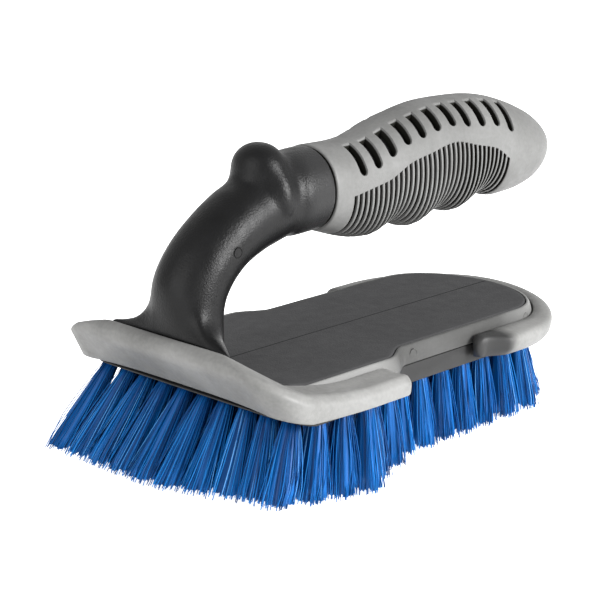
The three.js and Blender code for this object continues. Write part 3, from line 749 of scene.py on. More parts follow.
def handle():
    arm_and_foot = kept_above_deck(joined([arm(), foot()]))
    bump = [egg(**THUMB_BUMP), egg(**THUMB_RIDGE)]
    piece = new_piece("handle_moulding", joined([arm_and_foot, deck_plate(), *bump, grip_core()]))
    remesh = piece.modifiers.new("remesh", "REMESH")
    remesh.mode = "VOXEL"
    remesh.voxel_size = VOXEL * MM
    apply_modifiers(piece)
    places = vertex_places(piece.data) / MM
    relax(piece.data, np.ones(len(places)), ALL_OVER_ROUNDS)
    relax(piece.data, near_foot(places), FOOT_ROUNDS)
    relax(piece.data, near_bump(places), BUMP_ROUNDS)
    thin = piece.modifiers.new("thin", "DECIMATE")
    thin.ratio = KEPT_FACES
    apply_modifiers(piece)
    piece.data.shade_smooth()
    material = handle_plastic()
    settle(piece, material, "handle_plastic", "handle_frame")
    mark = new_piece("arm_ejector_mark", arm_mark())
    settle(mark, material, "handle_plastic")


def deck_line():
    """The low witness line along the middle of the deck."""
    stations = np.linspace(DECK_LINE_START, DECK_LINE_END, 60)
    rings = [[(x, y, DECK_TOP + up) for y, up in DECK_LINE_SECTION] for x in stations]
    piece = new_piece("deck_witness_line", loft(rings))
    settle(piece, deck_line_plastic(), "handle_plastic")


# ---------------------------------------------------------------- grip

# Heights of the grip's top and underside above the collar's middle, and its half width, along X.
TOP_REAR = [(48, 22.87), (64, 21.4), (78, 17.4), (91, 11.7), (GRIP_END, 5.7)]
GRIP_TOP = profile([(SEAM_X, COLLAR_RADIUS), (-6, 15.0), (12, 19.6), (30, 22.7), *TOP_REAR])
BOTTOM_REAR = [(66, -18.7), (80, -17.7), (90, -14.7), (GRIP_END, -8.3)]
GRIP_BOTTOM = profile([(SEAM_X, -COLLAR_RADIUS), (-5, -21), (30, -21.5), *BOTTOM_REAR])
GRIP_HALF_WIDTH = profile(
    [(SEAM_X, COLLAR_RADIUS), (0, 15.6), (40, 16.8), (70, 16.2), (90, 14.4), (GRIP_END, 12)]
)

# Fine grooves wrap under the grip from one side to the other, between ribs.
GROOVE_COUNT = 34
FIRST_GROOVE_X = -16.5
GROOVE_PITCH = 2.5
GROOVE_DEPTH = 2.1
# Where a groove ends, as degrees up from the grip's middle.
GROOVE_END = profile(
    [(-17, -3), (-7, 5), (6.5, 9), (21.5, 16.5), (35, 16.5), (47, 12), (57.5, 1), (66.5, -9)]
)
# A groove goes from its full depth to none within this many degrees.
GROOVE_END_STEP = 1.5
# Across one groove, in pitches from its middle, and how deep it is there, from 0 to 1.
GROOVE_SECTION = [(0, 1), (0.23, 1), (0.28, 0.4), (0.33, 0.06), (0.5, 0)]

# The finger panel lies this much lower, up to a soft edge that stands some degrees above the
# grooves, between where it begins and where it ends along X.
PANEL_DEPTH = 0.45
PANEL_MARGIN = 9
PANEL_EDGE = 3.5
PANEL_BEGINS = (30, 52)
PANEL_ENDS = (72, 88)

SLOT_COUNT = 11
FIRST_SLOT_X = -11.4
SLOT_PITCH = 7.92
SLOT_WIDTH = 3.6
SLOT_TOP_DEGREES = 70
SLOT_LOW_DEGREES = 21
SLOT_LOW_RISE = 15
SLOT_TOP_FALL = 4
# Walls of a slot: depth below the skin, how far it widens there and how far its top end ramps.
SLOT_LEVELS = [
    (-5.0, 0.7, 1.5),
    (0.0, 0.2, 0.8),
    (0.3, 0.04, 0.5),
    (1.0, 0.0, 0.0),
    (SLEEVE_WALL + 0.15, 0.0, 0.0),
]
SLOT_TOP_SLANT = 0.7

# Rounding of the sleeve's front edge: distance behind the edge's plane, depth below the skin.
SLEEVE_EDGE = [(0.25, 1.0), (0.3, 0.45), (0.45, 0.2), (0.75, 0.04)]
# The sleeve has many sharp steps, which only its own limit shades well.
SLEEVE_SHARP_DEGREES = 38
# Depth below the skin is measured no nearer to the grip's middle than this share of its size.
LEAST_SKIN_SHARE = 0.2


def finger_hollow(x):
    """How far the underside rises between the finger bumps."""
    turns = (np.asarray(x, float) - FIRST_FINGER_X) / FINGER_PITCH
    inside = (turns > 0) & (turns < FINGER_COUNT - 1)
    return np.where(inside, FINGER_DEPTH * np.sin(math.pi * turns) ** 2, 0)


def grip_section(x):
    """The grip's middle above the collar's, half height and half width at x."""
    along = np.clip((x - (GRIP_END - END_ROUNDING)) / END_ROUNDING, 0, 1)
    shrink = np.sqrt(np.maximum(END_FLAT_SHARE**2, 1 - along**2))
    top = GRIP_TOP(x)
    bottom = GRIP_BOTTOM(x) + finger_hollow(x)
    return (top + bottom) / 2, (top - bottom) / 2 * shrink, GRIP_HALF_WIDTH(x) * shrink


def grip_point(x, angle, inset=0.0):
    """Points on the grip at x and angle (0 to the +Y side, a quarter turn at the top)."""
    x = np.asarray(x, float)
    middle, half_height, half_width = grip_section(x)
    y, z = squircle(angle, half_width - inset, half_height - inset, GRIP_SQUARE)
    return np.stack(np.broadcast_arrays(x, y, z + COLLAR_Z + middle), axis=-1)


def grip_core():
    angle = np.linspace(0, 2 * math.pi, 80, endpoint=False)
    stations = np.linspace(SEAM_X - 2, CORE_END, 60)
    return loft(grip_point(stations[:, None], angle[None, :], SLEEVE_WALL + GAP))


def groove_stations():
    """X stations along the grip, fine where the grooves are."""
    across = sorted({side * place for place, _ in GROOVE_SECTION for side in (-1, 1)})
    fine = [
        FIRST_GROOVE_X + GROOVE_PITCH * (i + offset)
        for i in range(GROOVE_COUNT)
        for offset in across[:-1]
    ]
    last = FIRST_GROOVE_X + GROOVE_PITCH * (GROOVE_COUNT - 0.5)
    front = np.arange(SEAM_X + GAP + 1.2, fine[0] - 0.3, 0.6)
    rounding_start = GRIP_END - END_ROUNDING
    rear = np.arange(last, rounding_start, 0.7)
    ball = rounding_start + END_ROUNDING * np.sin(np.linspace(0, 0.5 * math.pi, 40))
    return np.concatenate([front, fine, rear, ball])


def grip_angles(x):
    """Angles round the grip at x, with a column on each side of the groove ends."""
    end = np.radians(GROOVE_END(x))
    edge = math.radians(GROOVE_END_STEP)
    low = -0.5 * math.pi + (end + 0.5 * math.pi) * np.linspace(0, 1, 44)[:, None]
    high = end + edge + (0.5 * math.pi - end - edge) * np.linspace(0, 1, 46)[:, None]
    right_half = np.concatenate([low, high]).T
    left_half = (math.pi - right_half[:, ::-1])[:, 1:-1]
    return np.concatenate([right_half, left_half], axis=1)


def groove_depth(x, angle):
    """Depth of the grooves, from 0 to 1."""
    turns = (x - FIRST_GROOVE_X) / GROOVE_PITCH
    across = np.abs(turns - np.round(turns))
    inside = (turns > -0.5) & (turns < GROOVE_COUNT - 0.5)
    places, depths = np.array(GROOVE_SECTION).T
    section = np.where(inside, np.interp(across, places, depths), 0)
    rise = np.degrees(np.arcsin(np.sin(angle)))
    below = rise <= GROOVE_END(x)[:, None] + 0.01
    return section[:, None] * below


def panel_depth(x, angle):
    """The finger panel lies a little below the shoulder of the grip at its rear."""
    rise = np.degrees(np.arcsin(np.sin(angle)))
    edge = GROOVE_END(x)[:, None] + PANEL_MARGIN
    below = 1 - smooth_step(-PANEL_EDGE, PANEL_EDGE, rise - edge)
    along = smooth_step(*PANEL_BEGINS, x) * (1 - smooth_step(*PANEL_ENDS, x))
    return PANEL_DEPTH * below * along[:, None]


def depth_below_skin(places):
    """Depth in millimetres below the grip's smooth outer skin, for each place."""
    x, y, z = places.T
    middle, half_height, half_width = grip_section(x)
    up = z - COLLAR_Z - middle
    powers = np.abs(y / half_width) ** GRIP_SQUARE + np.abs(up / half_height) ** GRIP_SQUARE
    share = powers ** (1 / GRIP_SQUARE)
    return np.hypot(y, up) * (1 / np.maximum(share, LEAST_SKIN_SHARE) - 1)


def grip_skin():
    """The sleeve's outer skin and its bore, as one closed skin."""
    stations = groove_stations()
    angle = grip_angles(stations)
    depth = groove_depth(stations, angle)
    inset = GROOVE_DEPTH * depth + panel_depth(stations, angle)
    outer = grip_point(stations[:, None], angle, inset)
    edge_behind, edge_inset = np.array(SLEEVE_EDGE).T
    edge_x = SEAM_X + GAP + edge_behind
    edge = grip_point(edge_x[:, None], angle[:1], edge_inset[:, None])
    bore_x = np.linspace(CORE_END + GAP, edge_x[0], 30)
    bore = grip_point(bore_x[:, None], angle[:1], SLEEVE_WALL)
    return loft(np.concatenate([bore, edge, outer]))


def slot_outline(length, grow, ramp):
    """A slot seen from outside: square at its top end, round at its low end.

    Points are (along X, down from the top end), grown outwards by grow, with the top end
    drawn up and forwards by ramp.
    """
    half = SLOT_WIDTH / 2
    turn = np.linspace(0, math.pi, 15)
    low = [((half + grow) * math.cos(a), length - half + (half + grow) * math.sin(a)) for a in turn]
    top = [(-half - grow - SLOT_TOP_SLANT * ramp, -grow - ramp), (half + grow, -grow - ramp)]
    sides = np.linspace(0, 1, 8)[1:-1]
    up = [tuple(np.array(low[-1]) * (1 - s) + np.array(top[0]) * s) for s in sides]
    down = [tuple(np.array(top[1]) * (1 - s) + np.array(low[0]) * s) for s in sides]
    return np.array([*low, *up, *top, *down])


def slot_cutter(number, side):
    """One slot on the shoulder of the side given by 1 or -1, through the sleeve's wall."""
    middle_x = FIRST_SLOT_X + SLOT_PITCH * number
    share = number / (SLOT_COUNT - 1)
    low_degrees = SLOT_LOW_DEGREES + SLOT_LOW_RISE * math.sin(math.pi * share)
    top_degrees = SLOT_TOP_DEGREES - SLOT_TOP_FALL * smooth_step(0.7, 1, share)
    ends = grip_point(middle_x, np.radians(np.linspace(top_degrees, low_degrees, 30)))
    length = np.linalg.norm(np.diff(ends, axis=0), axis=1).sum()
    rings = []
    for inset, grow, ramp in SLOT_LEVELS:
        outline = slot_outline(length, grow, ramp)
        degrees = top_degrees + (low_degrees - top_degrees) * outline[:, 1] / length
        angle = np.radians(degrees)
        if side < 0:
            angle = math.pi - angle
        rings.append(grip_point(middle_x + outline[:, 0], angle, inset))
    return loft(rings)


def hang_hole_cutter():
    flat = (HANG_HOLE_X, 0) + HANG_HOLE_RADIUS * circle(48)
    return loft([at_height(flat, COLLAR_Z + up) for up in (-40, 40)])


def grip():
    piece = new_piece("grip_rubber", grip_skin())
    slots = [slot_cutter(i, side) for i in range(SLOT_COUNT) for side in (-1, 1)]
    cut_away(piece, joined([*slots, hang_hole_cutter()]))
    piece.data.set_sharp_from_angle(angle=math.radians(SLEEVE_SHARP_DEGREES))
    # Depth below the skin, which the grip's material turns into painted shade in the grooves and
    # slots.
    below = piece.data.attributes.new("below", "FLOAT", "POINT")
    below.data.foreach_set("value", depth_below_skin(vertex_places(piece.data) / MM))
    settle(piece, grip_rubber(), "soft_rubber", "grip_sleeve")


# ---------------------------------------------------------------- bumpers

FRONT_BUMPER_END = front_high[0]
# Edges of its section: x in the middle and at the corners, half width, corner radius, and height
# above the deck at the front and at the sides.
FRONT_BUMPER_RAILS = [
    (-91.5, -91.5, 41.1, 13, 13.8, -1.6),
    (-93.6, -93.6, 47.0, 15, 13.1, -2.0),
    (-94.9, -94.9, 52.0, 16, 11.6, -1.5),
    (-95.4, -95.4, 54.3, 15, 9.0, -3.9),
    (-94.2, -94.2, 54.2, 15, 6.6, -6.0),
    (-84.9, -87.5, 53.8, 10, -4.4, -8.8),
    (-83.1, -83.1, 50.0, 10, -4.6, -6.8),
    (-83.1, -83.1, 41.1, 13, -0.6, -6.8),
    (-91.5, -91.5, 41.1, 13, 8.4, -6.4),
]
FRONT_CORNER_RADII = [0.5, 2.5, 1.2, 1.6, 1.0, 1.4, 1.0, 0.5, 0.5]
# Where the front bumper comes down to the height of its sides, as travel along it.
FRONT_FALL = (0.9, 2.7)
REAR_BUMPER_END = rear_low[0]
# Edges of its section: x where the sides begin, reach back from there, half width, and height
# above the deck at the rear and at the sides.
REAR_BUMPER_RAILS = [
    (52, 25.9, 34.8, -1.0, -3.8),
    (49, 31.0, 39.0, -0.6, -3.0),
    (45, 38.0, 44.6, -1.8, -3.6),
    (44, 40.5, 46.0, -4.0, -5.4),
    (44, 39.8, 45.4, -7.6, -9.0),
    (45, 36.5, 43.0, -10.6, -11.6),
    (52, 25.9, 34.8, -11.0, -12.0),
]
REAR_CORNER_RADII = [0.5, 2.0, 2.0, 1.6, 1.2, 1.6, 0.5]
# At its front ends the rear bumper is this share as thick, over this length.
SADDLE_REACH = 0.42
SADDLE_LENGTH = 16
BUMPER_END_ROUNDING = 3.5


def front_rail(front, corner, side, radius, travel, end_x):
    """Across the front, round a corner and back: 0 in the middle, 3 at end_x."""
    t = abs(travel)
    hand = math.copysign(1, travel)
    if t <= 1:
        return front + (corner - front) * t**3, hand * t * (side - radius)
    if t <= 2:
        angle = (t - 1) * math.pi / 2
        x = corner + radius * (1 - math.cos(angle))
        return x, hand * (side - radius * (1 - math.sin(angle)))
    return corner + radius + (end_x - corner - radius) * (t - 2), hand * side


def rear_rail(centre, reach, side, travel, end_x):
    """Round the rear and forwards: 0 in the middle, 1 where the side begins, 2 at end_x."""
    t = abs(travel)
    hand = math.copysign(1, travel)
    if t <= 1:
        angle = t * math.pi / 2
        return centre + reach * math.cos(angle), hand * side * math.sin(angle)
    return centre + (end_x - centre) * (t - 1), hand * side


def rounded_end(section, direction):
    """Sections that close a bumper with a rounded end."""
    middle = section.mean(0)
    rings = []
    for t in np.sin(np.linspace(0, 0.5 * math.pi, 9))[1:]:
        keep = max(0.05, math.sqrt(1 - t * t))
        ring = middle + (section - middle) * keep
        ring[:, 0] += direction * BUMPER_END_ROUNDING * t
        rings.append(ring)
    return rings


def bumper(node, sections, direction, material):
    """A bumper through its sections, with rounded ends that face along X in that direction."""
    first = rounded_end(sections[0], direction)[::-1]
    last = rounded_end(sections[-1], direction)
    piece = new_piece(node + "_rubber", loft([*first, *sections, *last]))
    settle(piece, material, "soft_rubber", node)


def front_bumper(material):
    end_x = FRONT_BUMPER_END - BUMPER_END_ROUNDING
    corners = []
    for travel in np.linspace(-3, 3, 181):
        fall = smooth_step(*FRONT_FALL, abs(travel))
        section = []
        for *rail, front_up, side_up in FRONT_BUMPER_RAILS:
            up = front_up + (side_up - front_up) * fall
            section.append((*front_rail(*rail, travel, end_x), DECK_TOP + up))
        corners.append(section)
    sections = rounded_sections(np.array(corners), FRONT_CORNER_RADII)
    bumper("front_bumper", sections, 1, material)


def rear_bumper(material):
    end_x = REAR_BUMPER_END + BUMPER_END_ROUNDING
    corners = []
    for travel in np.linspace(-2, 2, 201):
        inner_x, inner_y = rear_rail(*REAR_BUMPER_RAILS[0][:3], travel, end_x)
        swell = smooth_step(REAR_BUMPER_END, REAR_BUMPER_END + SADDLE_LENGTH, inner_x)
        reach = SADDLE_REACH + (1 - SADDLE_REACH) * swell
        fall = smooth_step(0, 1, abs(travel))
        section = []
        for *rail, rear_up, side_up in REAR_BUMPER_RAILS:
            x, y = rear_rail(*rail, travel, end_x)
            up = rear_up + (side_up - rear_up) * fall
            point = (inner_x + (x - inner_x) * reach, inner_y + (y - inner_y) * reach)
            section.append((*point, DECK_TOP + up))
        corners.append(section)
    sections = rounded_sections(np.array(corners), REAR_CORNER_RADII)
    bumper("rear_bumper", sections, -1, material)


# ---------------------------------------------------------------- rim band

# Section of the band: distance out from the deck's edge, height.
RIM_SECTION = [
    (GAP, PARTING_Z + GAP),
    (GAP + RIM_THICKNESS - 0.2, PARTING_Z + GAP),
    (GAP + RIM_THICKNESS, PARTING_Z + 2.4),
    (GAP + RIM_THICKNESS - 0.5, PARTING_Z + 5),
    (GAP + 0.9, RIM_TOP),
    (GAP, RIM_TOP),
]
RIM_CORNER_RADII = [0.2, 0.35, 1.2, 1.2, 0.8, 0.3]
RIM_SPACING = 0.8
# Round moulding marks on each side of the band: x and radius.
RIM_MARKS = [(-61.0, 1.7), (-7.5, 2.0), (56.0, 1.7)]
RIM_MARK_Z = PARTING_Z + 3.4
RIM_MARK_SINK = 0.25


def deck_edge():
    """Even points along the deck's edge: right front, round the rear, left front."""
    side_x = np.linspace(RIM_START, DECK_REAR_CENTRE, 600)
    turn = np.linspace(0, 0.5 * math.pi, 300)[1:]
    x = np.concatenate([side_x, DECK_REAR_CENTRE + DECK_REAR_REACH * np.sin(turn)])
    y = np.concatenate([deck_half_width(side_x), DECK_WAIST_HALF_WIDTH * np.cos(turn)])
    path = np.concatenate([np.stack([x, -y], 1), np.stack([x, y], 1)[-2::-1]])
    steps = np.linalg.norm(np.diff(path, axis=0), axis=1)
    length = np.concatenate([[0], np.cumsum(steps)])
    places = np.linspace(0, length[-1], int(length[-1] / RIM_SPACING))
    return np.stack([np.interp(places, length, path[:, axis]) for axis in (0, 1)], axis=1)


def outward_normals(path):
    along = np.gradient(path, axis=0)
    along /= np.linalg.norm(along, axis=1, keepdims=True)
    return np.stack([along[:, 1], -along[:, 0]], axis=1)


def rim_mark(x, radius, hand):
    """A mark on the band's face at x, on the side given by 1 or -1."""
    slope = float(deck_half_width(x + 0.5)) - float(deck_half_width(x - 0.5))
    edge_y = float(deck_half_width(x)) + GAP + RIM_THICKNESS - RIM_MARK_SINK
    return low_disc((x, hand * edge_y, RIM_MARK_Z), (-slope, hand, 0), radius)


def rim_band():
    path = deck_edge()
    out = outward_normals(path)
    corners = [at_height(path + out * distance, z) for distance, z in RIM_SECTION]
    sections = rounded_sections(np.stack(corners, axis=1), RIM_CORNER_RADII)
    marks = [rim_mark(x, radius, hand) for x, radius in RIM_MARKS for hand in (-1, 1)]
    piece = new_piece("rim_rubber", joined([loft(sections), *marks]))
    settle(piece, rim_rubber(), "soft_rubber", "rim_band")


# ---------------------------------------------------------------- bristle block

# The underside and the top are rings round this line along X, at these shares of the way out to
# the outline: close together where the flange steps up.
BLOCK_SPINE = (-68, 45)
UNDERSIDE_SHARES = (0.02, 0.25, 0.5, 0.66, 0.7, 0.74, 0.78, 0.82, 0.87, 0.93)
TOP_SHARES = (0.9, 0.5, 0.02)
# Rounding of the low and high edges: distance in from the outline, and distance up or down.
LOW_EDGE = [(0.7, 0), (0.25, 0.15), (0, 0.6)]
HIGH_EDGE = [(0, 0.5), (0.12, 0.2), (0.45, 0)]
SCREWS = [f"block_screw_{number}" for number in range(1, 5)]
SCREW_HEAD_POCKET = 2.7


def block_bottom(x, y):
    """Height of the block's underside, which rises at the front and steps up at the flanges."""
    climb = np.clip((BLOCK_RISE_START - x) / (BLOCK_RISE_START - BLOCK_FRONT), 0, None)
    bottom = BLOCK_BOTTOM + BLOCK_FRONT_RISE * climb**2
    outwards = smooth_step(FLANGE_INNER_SIDE, FLANGE_OUTER_SIDE, np.abs(y))
    flange = outwards * (1 - smooth_step(DRAW_IN_START, DRAW_IN_END, x))
    return bottom + np.maximum(0, FLANGE_BOTTOM - bottom) * flange


def block_half_width(x):
    x = np.asarray(x, float)
    inset, corner = round_corner(x, BLOCK_FRONT, BLOCK_FRONT_SIDE, BLOCK_CORNER)
    along = np.clip((x - DECK_REAR_CENTRE) / (DECK_REAR_REACH + BLOCK_OVERHANG), 0, 1)
    rear = (DECK_WAIST_HALF_WIDTH + BLOCK_OVERHANG) * np.sqrt(1 - along**2)
    drawn_in = smooth_step(DRAW_IN_START, DRAW_IN_END, x)
    narrow = deck_half_width(x) + BLOCK_OVERHANG
    side = BLOCK_FRONT_SIDE + (narrow - BLOCK_FRONT_SIDE) * drawn_in
    return np.where(inset > 0, corner, np.where(x > DECK_REAR_CENTRE, rear, side))


def block_outline():
    """Closed outline of the block seen from above."""
    corner = BLOCK_FRONT + BLOCK_CORNER * (1 - np.cos(np.linspace(0, 0.5 * math.pi, 24)))
    side = np.linspace(corner[-1], DECK_REAR_CENTRE, 150)[1:]
    turn = np.linspace(0, 0.5 * math.pi, 60)[1:]
    rear = DECK_REAR_CENTRE + (DECK_REAR_REACH + BLOCK_OVERHANG) * np.sin(turn)
    x = np.concatenate([corner, side, rear])
    right = np.stack([x, -block_half_width(x)], axis=1)
    left = np.stack([x, block_half_width(x)], axis=1)[-2::-1]
    return np.concatenate([right, left])


def inset_outline(outline, distance):
    """A closed outline moved inwards."""
    along = np.roll(outline, -1, axis=0) - np.roll(outline, 1, axis=0)
    along /= np.linalg.norm(along, axis=1, keepdims=True)
    return outline - np.stack([along[:, 1], -along[:, 0]], axis=1) * distance


def block_shape():
    outline = block_outline()
    spine = np.column_stack([np.clip(outline[:, 0], *BLOCK_SPINE), np.zeros(len(outline))])
    rings = []
    for share in UNDERSIDE_SHARES:
        flat = spine + (outline - spine) * share
        rings.append(at_height(flat, block_bottom(*flat.T)))
    bottom = block_bottom(*outline.T)
    top = np.maximum(PARTING_Z, np.minimum(FLANGE_TOP_LIMIT, bottom + FLANGE_THICKNESS))
    for distance, lift in LOW_EDGE:
        rings.append(at_height(inset_outline(outline, distance), bottom + lift))
    for distance, drop in HIGH_EDGE:
        rings.append(at_height(inset_outline(outline, distance), top - drop))
    for share in TOP_SHARES:
        rings.append(at_height(spine + (outline - spine) * share, top))
    return loft(rings)


def row_x(row):
    return FIRST_ROW_X + row * ROW_PITCH


def tuft_ys(x):
    """The places of a row's tufts across the block, at least TUFT_PITCH apart."""
    usable = float(block_half_width(x)) - TUFT_EDGE_MARGIN
    return np.linspace(-usable, usable, int(2 * usable / TUFT_PITCH) + 1)


def screw_counterbores():
    """Pockets round the screw heads, taken from the screws themselves."""
    cutters = []
    for name in SCREWS:
        low, high = node_box(name)
        middle = (low + high) / 2
        radius = (high[0] - low[0]) / 2 + GAP
        flat = middle[:2] + radius * circle(40)
        levels = (BLOCK_BOTTOM - 2, low[2] + SCREW_HEAD_POCKET)
        cutters.append(loft([at_height(flat, z) for z in levels]))
    return cutters


def bristle_block():
    piece = new_piece("bristle_block_moulding", block_shape())
    cut_away(piece, joined([*tuft_holes(), *screw_counterbores()]))
    piece.data.set_sharp_from_angle(angle=math.radians(SHARP_DEGREES))
    settle(piece, block_plastic(), "block_plastic", "bristle_block")


# ---------------------------------------------------------------- tufts

FORWARD_LEAN_START = -35
FRONTNESS_POWER = 1.3
REAR_LEAN_START = 36
REAR_LEAN = 4
SIDE_SPREAD = 1.05
FRONT_SIDE_SPREAD = 0.05
FRONT_TIP_RISE = 5.5
CORNER_TIP_RISE = 3
TIP_HALF_X = 5.2
TIP_OVERLAP = 0.9
# The tips of the front row reach as far forwards as the grip reaches back.
FORWARD_LEAN = GRIP_END + FIRST_ROW_X - TIP_HALF_X * math.cos(math.pi / 6)
# The front tufts on the right hand side have been bent less far forwards than the others: this
# share of the lean at the first y, all of it from the second.
LEAST_LEAN = 0.5
STRAIGHTER_SIDE = (-34, 4)
FIRST_SEED = 100
HOLE_RADIUS = 3.1
HOLE_ABOVE_ROOT = 0.3
HOLE_BELOW_BLOCK = 3
BUNDLE_RADIUS = 2.6
STRANDS = 110
STRAND_RADIUS = 0.2
STRAND_SIDES = 3
STRAND_RINGS = 7
HEART_SIDES = 44
HEART_SHARE = 0.84
# Vertices that loft adds in the middle of a shape's two ends.
END_MIDDLES = 2
# Painted shade on a tuft's packed middle and on the tufts inside the brush, against an outer
# strand.
HEART_PAINTED_SHADE = 0.5
INNER_PAINTED_SHADE = 0.4
# How early the strands of a tuft part: 1 would be evenly all the way down.
FLARE = 0.88
# Unevenness at the tips, against the tuft's size there: scatter, the few strands that stray and
# how far, the furthest that any strand gets, and how much wider the strands spread than the row.
SCATTER = 0.16
STRAY_SHARE = 0.07
STRAY_REACH = 1.5
FURTHEST = 1.25
TIP_GROWTH_X = 1.05
TIP_GROWTH_Y = 1.12
# Unevenness in the length of the strands, and the shortest, against the tuft's length.
LENGTH_SCATTER = 0.03
SHORTEST = 0.86
# How far the strands bow and crimp, and the half waves of the crimp.
BOW = 0.32
CRIMP = 0.07
CRIMP_WAVES = 7
# The heart's length, flutes and their unevenness, against the tuft's length and radius.
HEART_LENGTH = 0.97
FLUTE_DEPTH = 0.09
FLUTE_SCATTER = 0.05
FLUTE_LENGTH_SCATTER = 0.035


def frontness(x):
    """How far the tufts of a row have turned forwards, from 0 to 1 in the front row."""
    share = max(0.0, (FORWARD_LEAN_START - x) / (FORWARD_LEAN_START - FIRST_ROW_X))
    return share**FRONTNESS_POWER


def lean_share(y):
    """How much of the forward lean the front tufts at y have."""
    return LEAST_LEAN + (1 - LEAST_LEAN) * float(smooth_step(*STRAIGHTER_SIDE, y))


def tuft_line(x, y):
    """Root and tip of the tuft that stands in the block at x and y."""
    front = frontness(x)
    back = max(0.0, (x - REAR_LEAN_START) / (row_x(ROW_COUNT - 1) - REAR_LEAN_START))
    corner = (min(0, y) / BLOCK_FRONT_SIDE) ** 2
    root = np.array([x, y, float(block_bottom(x, y)) + TUFT_SEAT_DEPTH])
    tip_x = x - FORWARD_LEAN * lean_share(y) * front + REAR_LEAN * back
    tip_y = y * (SIDE_SPREAD + FRONT_SIDE_SPREAD * front)
    tip_z = (FRONT_TIP_RISE + CORNER_TIP_RISE * corner) * front
    return root, np.array([tip_x, tip_y, tip_z])


def tuft_holes():
    ring = at_height(HOLE_RADIUS * circle(20), 0)
    holes = []
    for row in range(ROW_COUNT):
        for y in tuft_ys(row_x(row)):
            root, tip = tuft_line(row_x(row), y)
            along = (tip - root) / (root[2] - tip[2])
            above = root - along * HOLE_ABOVE_ROOT
            below = root + along * (TUFT_SEAT_DEPTH + HOLE_BELOW_BLOCK)
            holes.append(loft([above + ring, below + ring]))
    return holes


def strand_paths(root, tip, reach_y, random):
    """Middle lines of one tuft's strands: (strand, ring, xyz)."""
    turn = np.arange(STRANDS) * math.pi * (3 - math.sqrt(5))
    out = np.sqrt((np.arange(STRANDS) + 0.5) / STRANDS)
    disc = np.stack([np.cos(turn), np.sin(turn)], axis=1) * out[:, None]
    start = disc * BUNDLE_RADIUS
    spread = disc + random.normal(0, SCATTER, disc.shape)
    stray = random.random(STRANDS) < STRAY_SHARE
    spread[stray] *= STRAY_REACH
    distance = np.linalg.norm(spread, axis=1, keepdims=True)
    spread /= np.maximum(1, distance / FURTHEST)
    end = spread * np.array([TIP_HALF_X * TIP_GROWTH_X, reach_y * TIP_GROWTH_Y])
    length = 1 - np.abs(random.normal(0, LENGTH_SCATTER, STRANDS))[:, None, None]
    t = np.linspace(0, 1, STRAND_RINGS)[None, :, None] * np.maximum(length, SHORTEST)
    line = root + (tip - root) * t
    flare = t**FLARE
    offset = start[:, None, :] * (1 - flare) + end[:, None, :] * flare
    bow = random.normal(0, BOW, (STRANDS, 1, 2)) * np.sin(math.pi * t)
    wave = random.uniform(0, 2 * math.pi, (STRANDS, 1, 2))
    crimp = CRIMP * np.sin(CRIMP_WAVES * math.pi * t + wave) * t
    line[:, :, :2] += offset + bow + crimp
    return line


def tuft_heart(root, tip, reach_y, random):
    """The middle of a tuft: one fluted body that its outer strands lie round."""
    ridges = np.where(np.arange(HEART_SIDES) % 2, FLUTE_DEPTH, -FLUTE_DEPTH)
    flutes = 1 + ridges + random.normal(0, FLUTE_SCATTER, HEART_SIDES)
    lengths = 1 - np.abs(random.normal(0, FLUTE_LENGTH_SCATTER, HEART_SIDES))
    start = BUNDLE_RADIUS - STRAND_RADIUS
    end = HEART_SHARE * np.array([TIP_HALF_X, reach_y])
    rings = []
    for t in np.linspace(0, HEART_LENGTH, STRAND_RINGS):
        half = start * (1 - t**FLARE) + end * t**FLARE
        along = t * (1 - (1 - lengths) * t**4)
        ring = root + (tip - root) * along[:, None]
        ring[:, :2] += circle(HEART_SIDES) * flutes[:, None] * half
        rings.append(ring)
    return loft(rings)


def strands_mesh(paths):
    """Thin closed strands round their middle lines."""
    verts = paths[:, :, None, :] + at_height(STRAND_RADIUS * circle(STRAND_SIDES), 0)
    index = np.arange(verts.size // 3).reshape(verts.shape[:3])
    here, there = index[:, :-1], index[:, 1:]
    quads = np.stack([here, there, np.roll(there, -1, 2), np.roll(here, -1, 2)], -1)
    roots = index[:, 0, :]
    tips = index[:, -1, ::-1]
    faces = quads.reshape(-1, 4).tolist() + roots.tolist() + tips.tolist()
    return verts.reshape(-1, 3), faces


def row_shades(tufts, inner_painted_shade, random):
    """A shade for each vertex of a row: all its strands first, then its tufts' hearts. Strands get
    a random tone, and the hearts and the tufts inside the row get painted shade.
    """
    depth = np.full(tufts, inner_painted_shade)
    depth[[0, -1]] = 1.0
    strands = random.random(tufts * STRANDS) * np.repeat(depth, STRANDS)
    hearts = np.repeat(depth, STRAND_RINGS * HEART_SIDES + END_MIDDLES)
    hearts *= HEART_PAINTED_SHADE * np.resize(random.random(HEART_SIDES), len(hearts))
    return np.concatenate([np.repeat(strands, STRAND_RINGS * STRAND_SIDES), hearts])


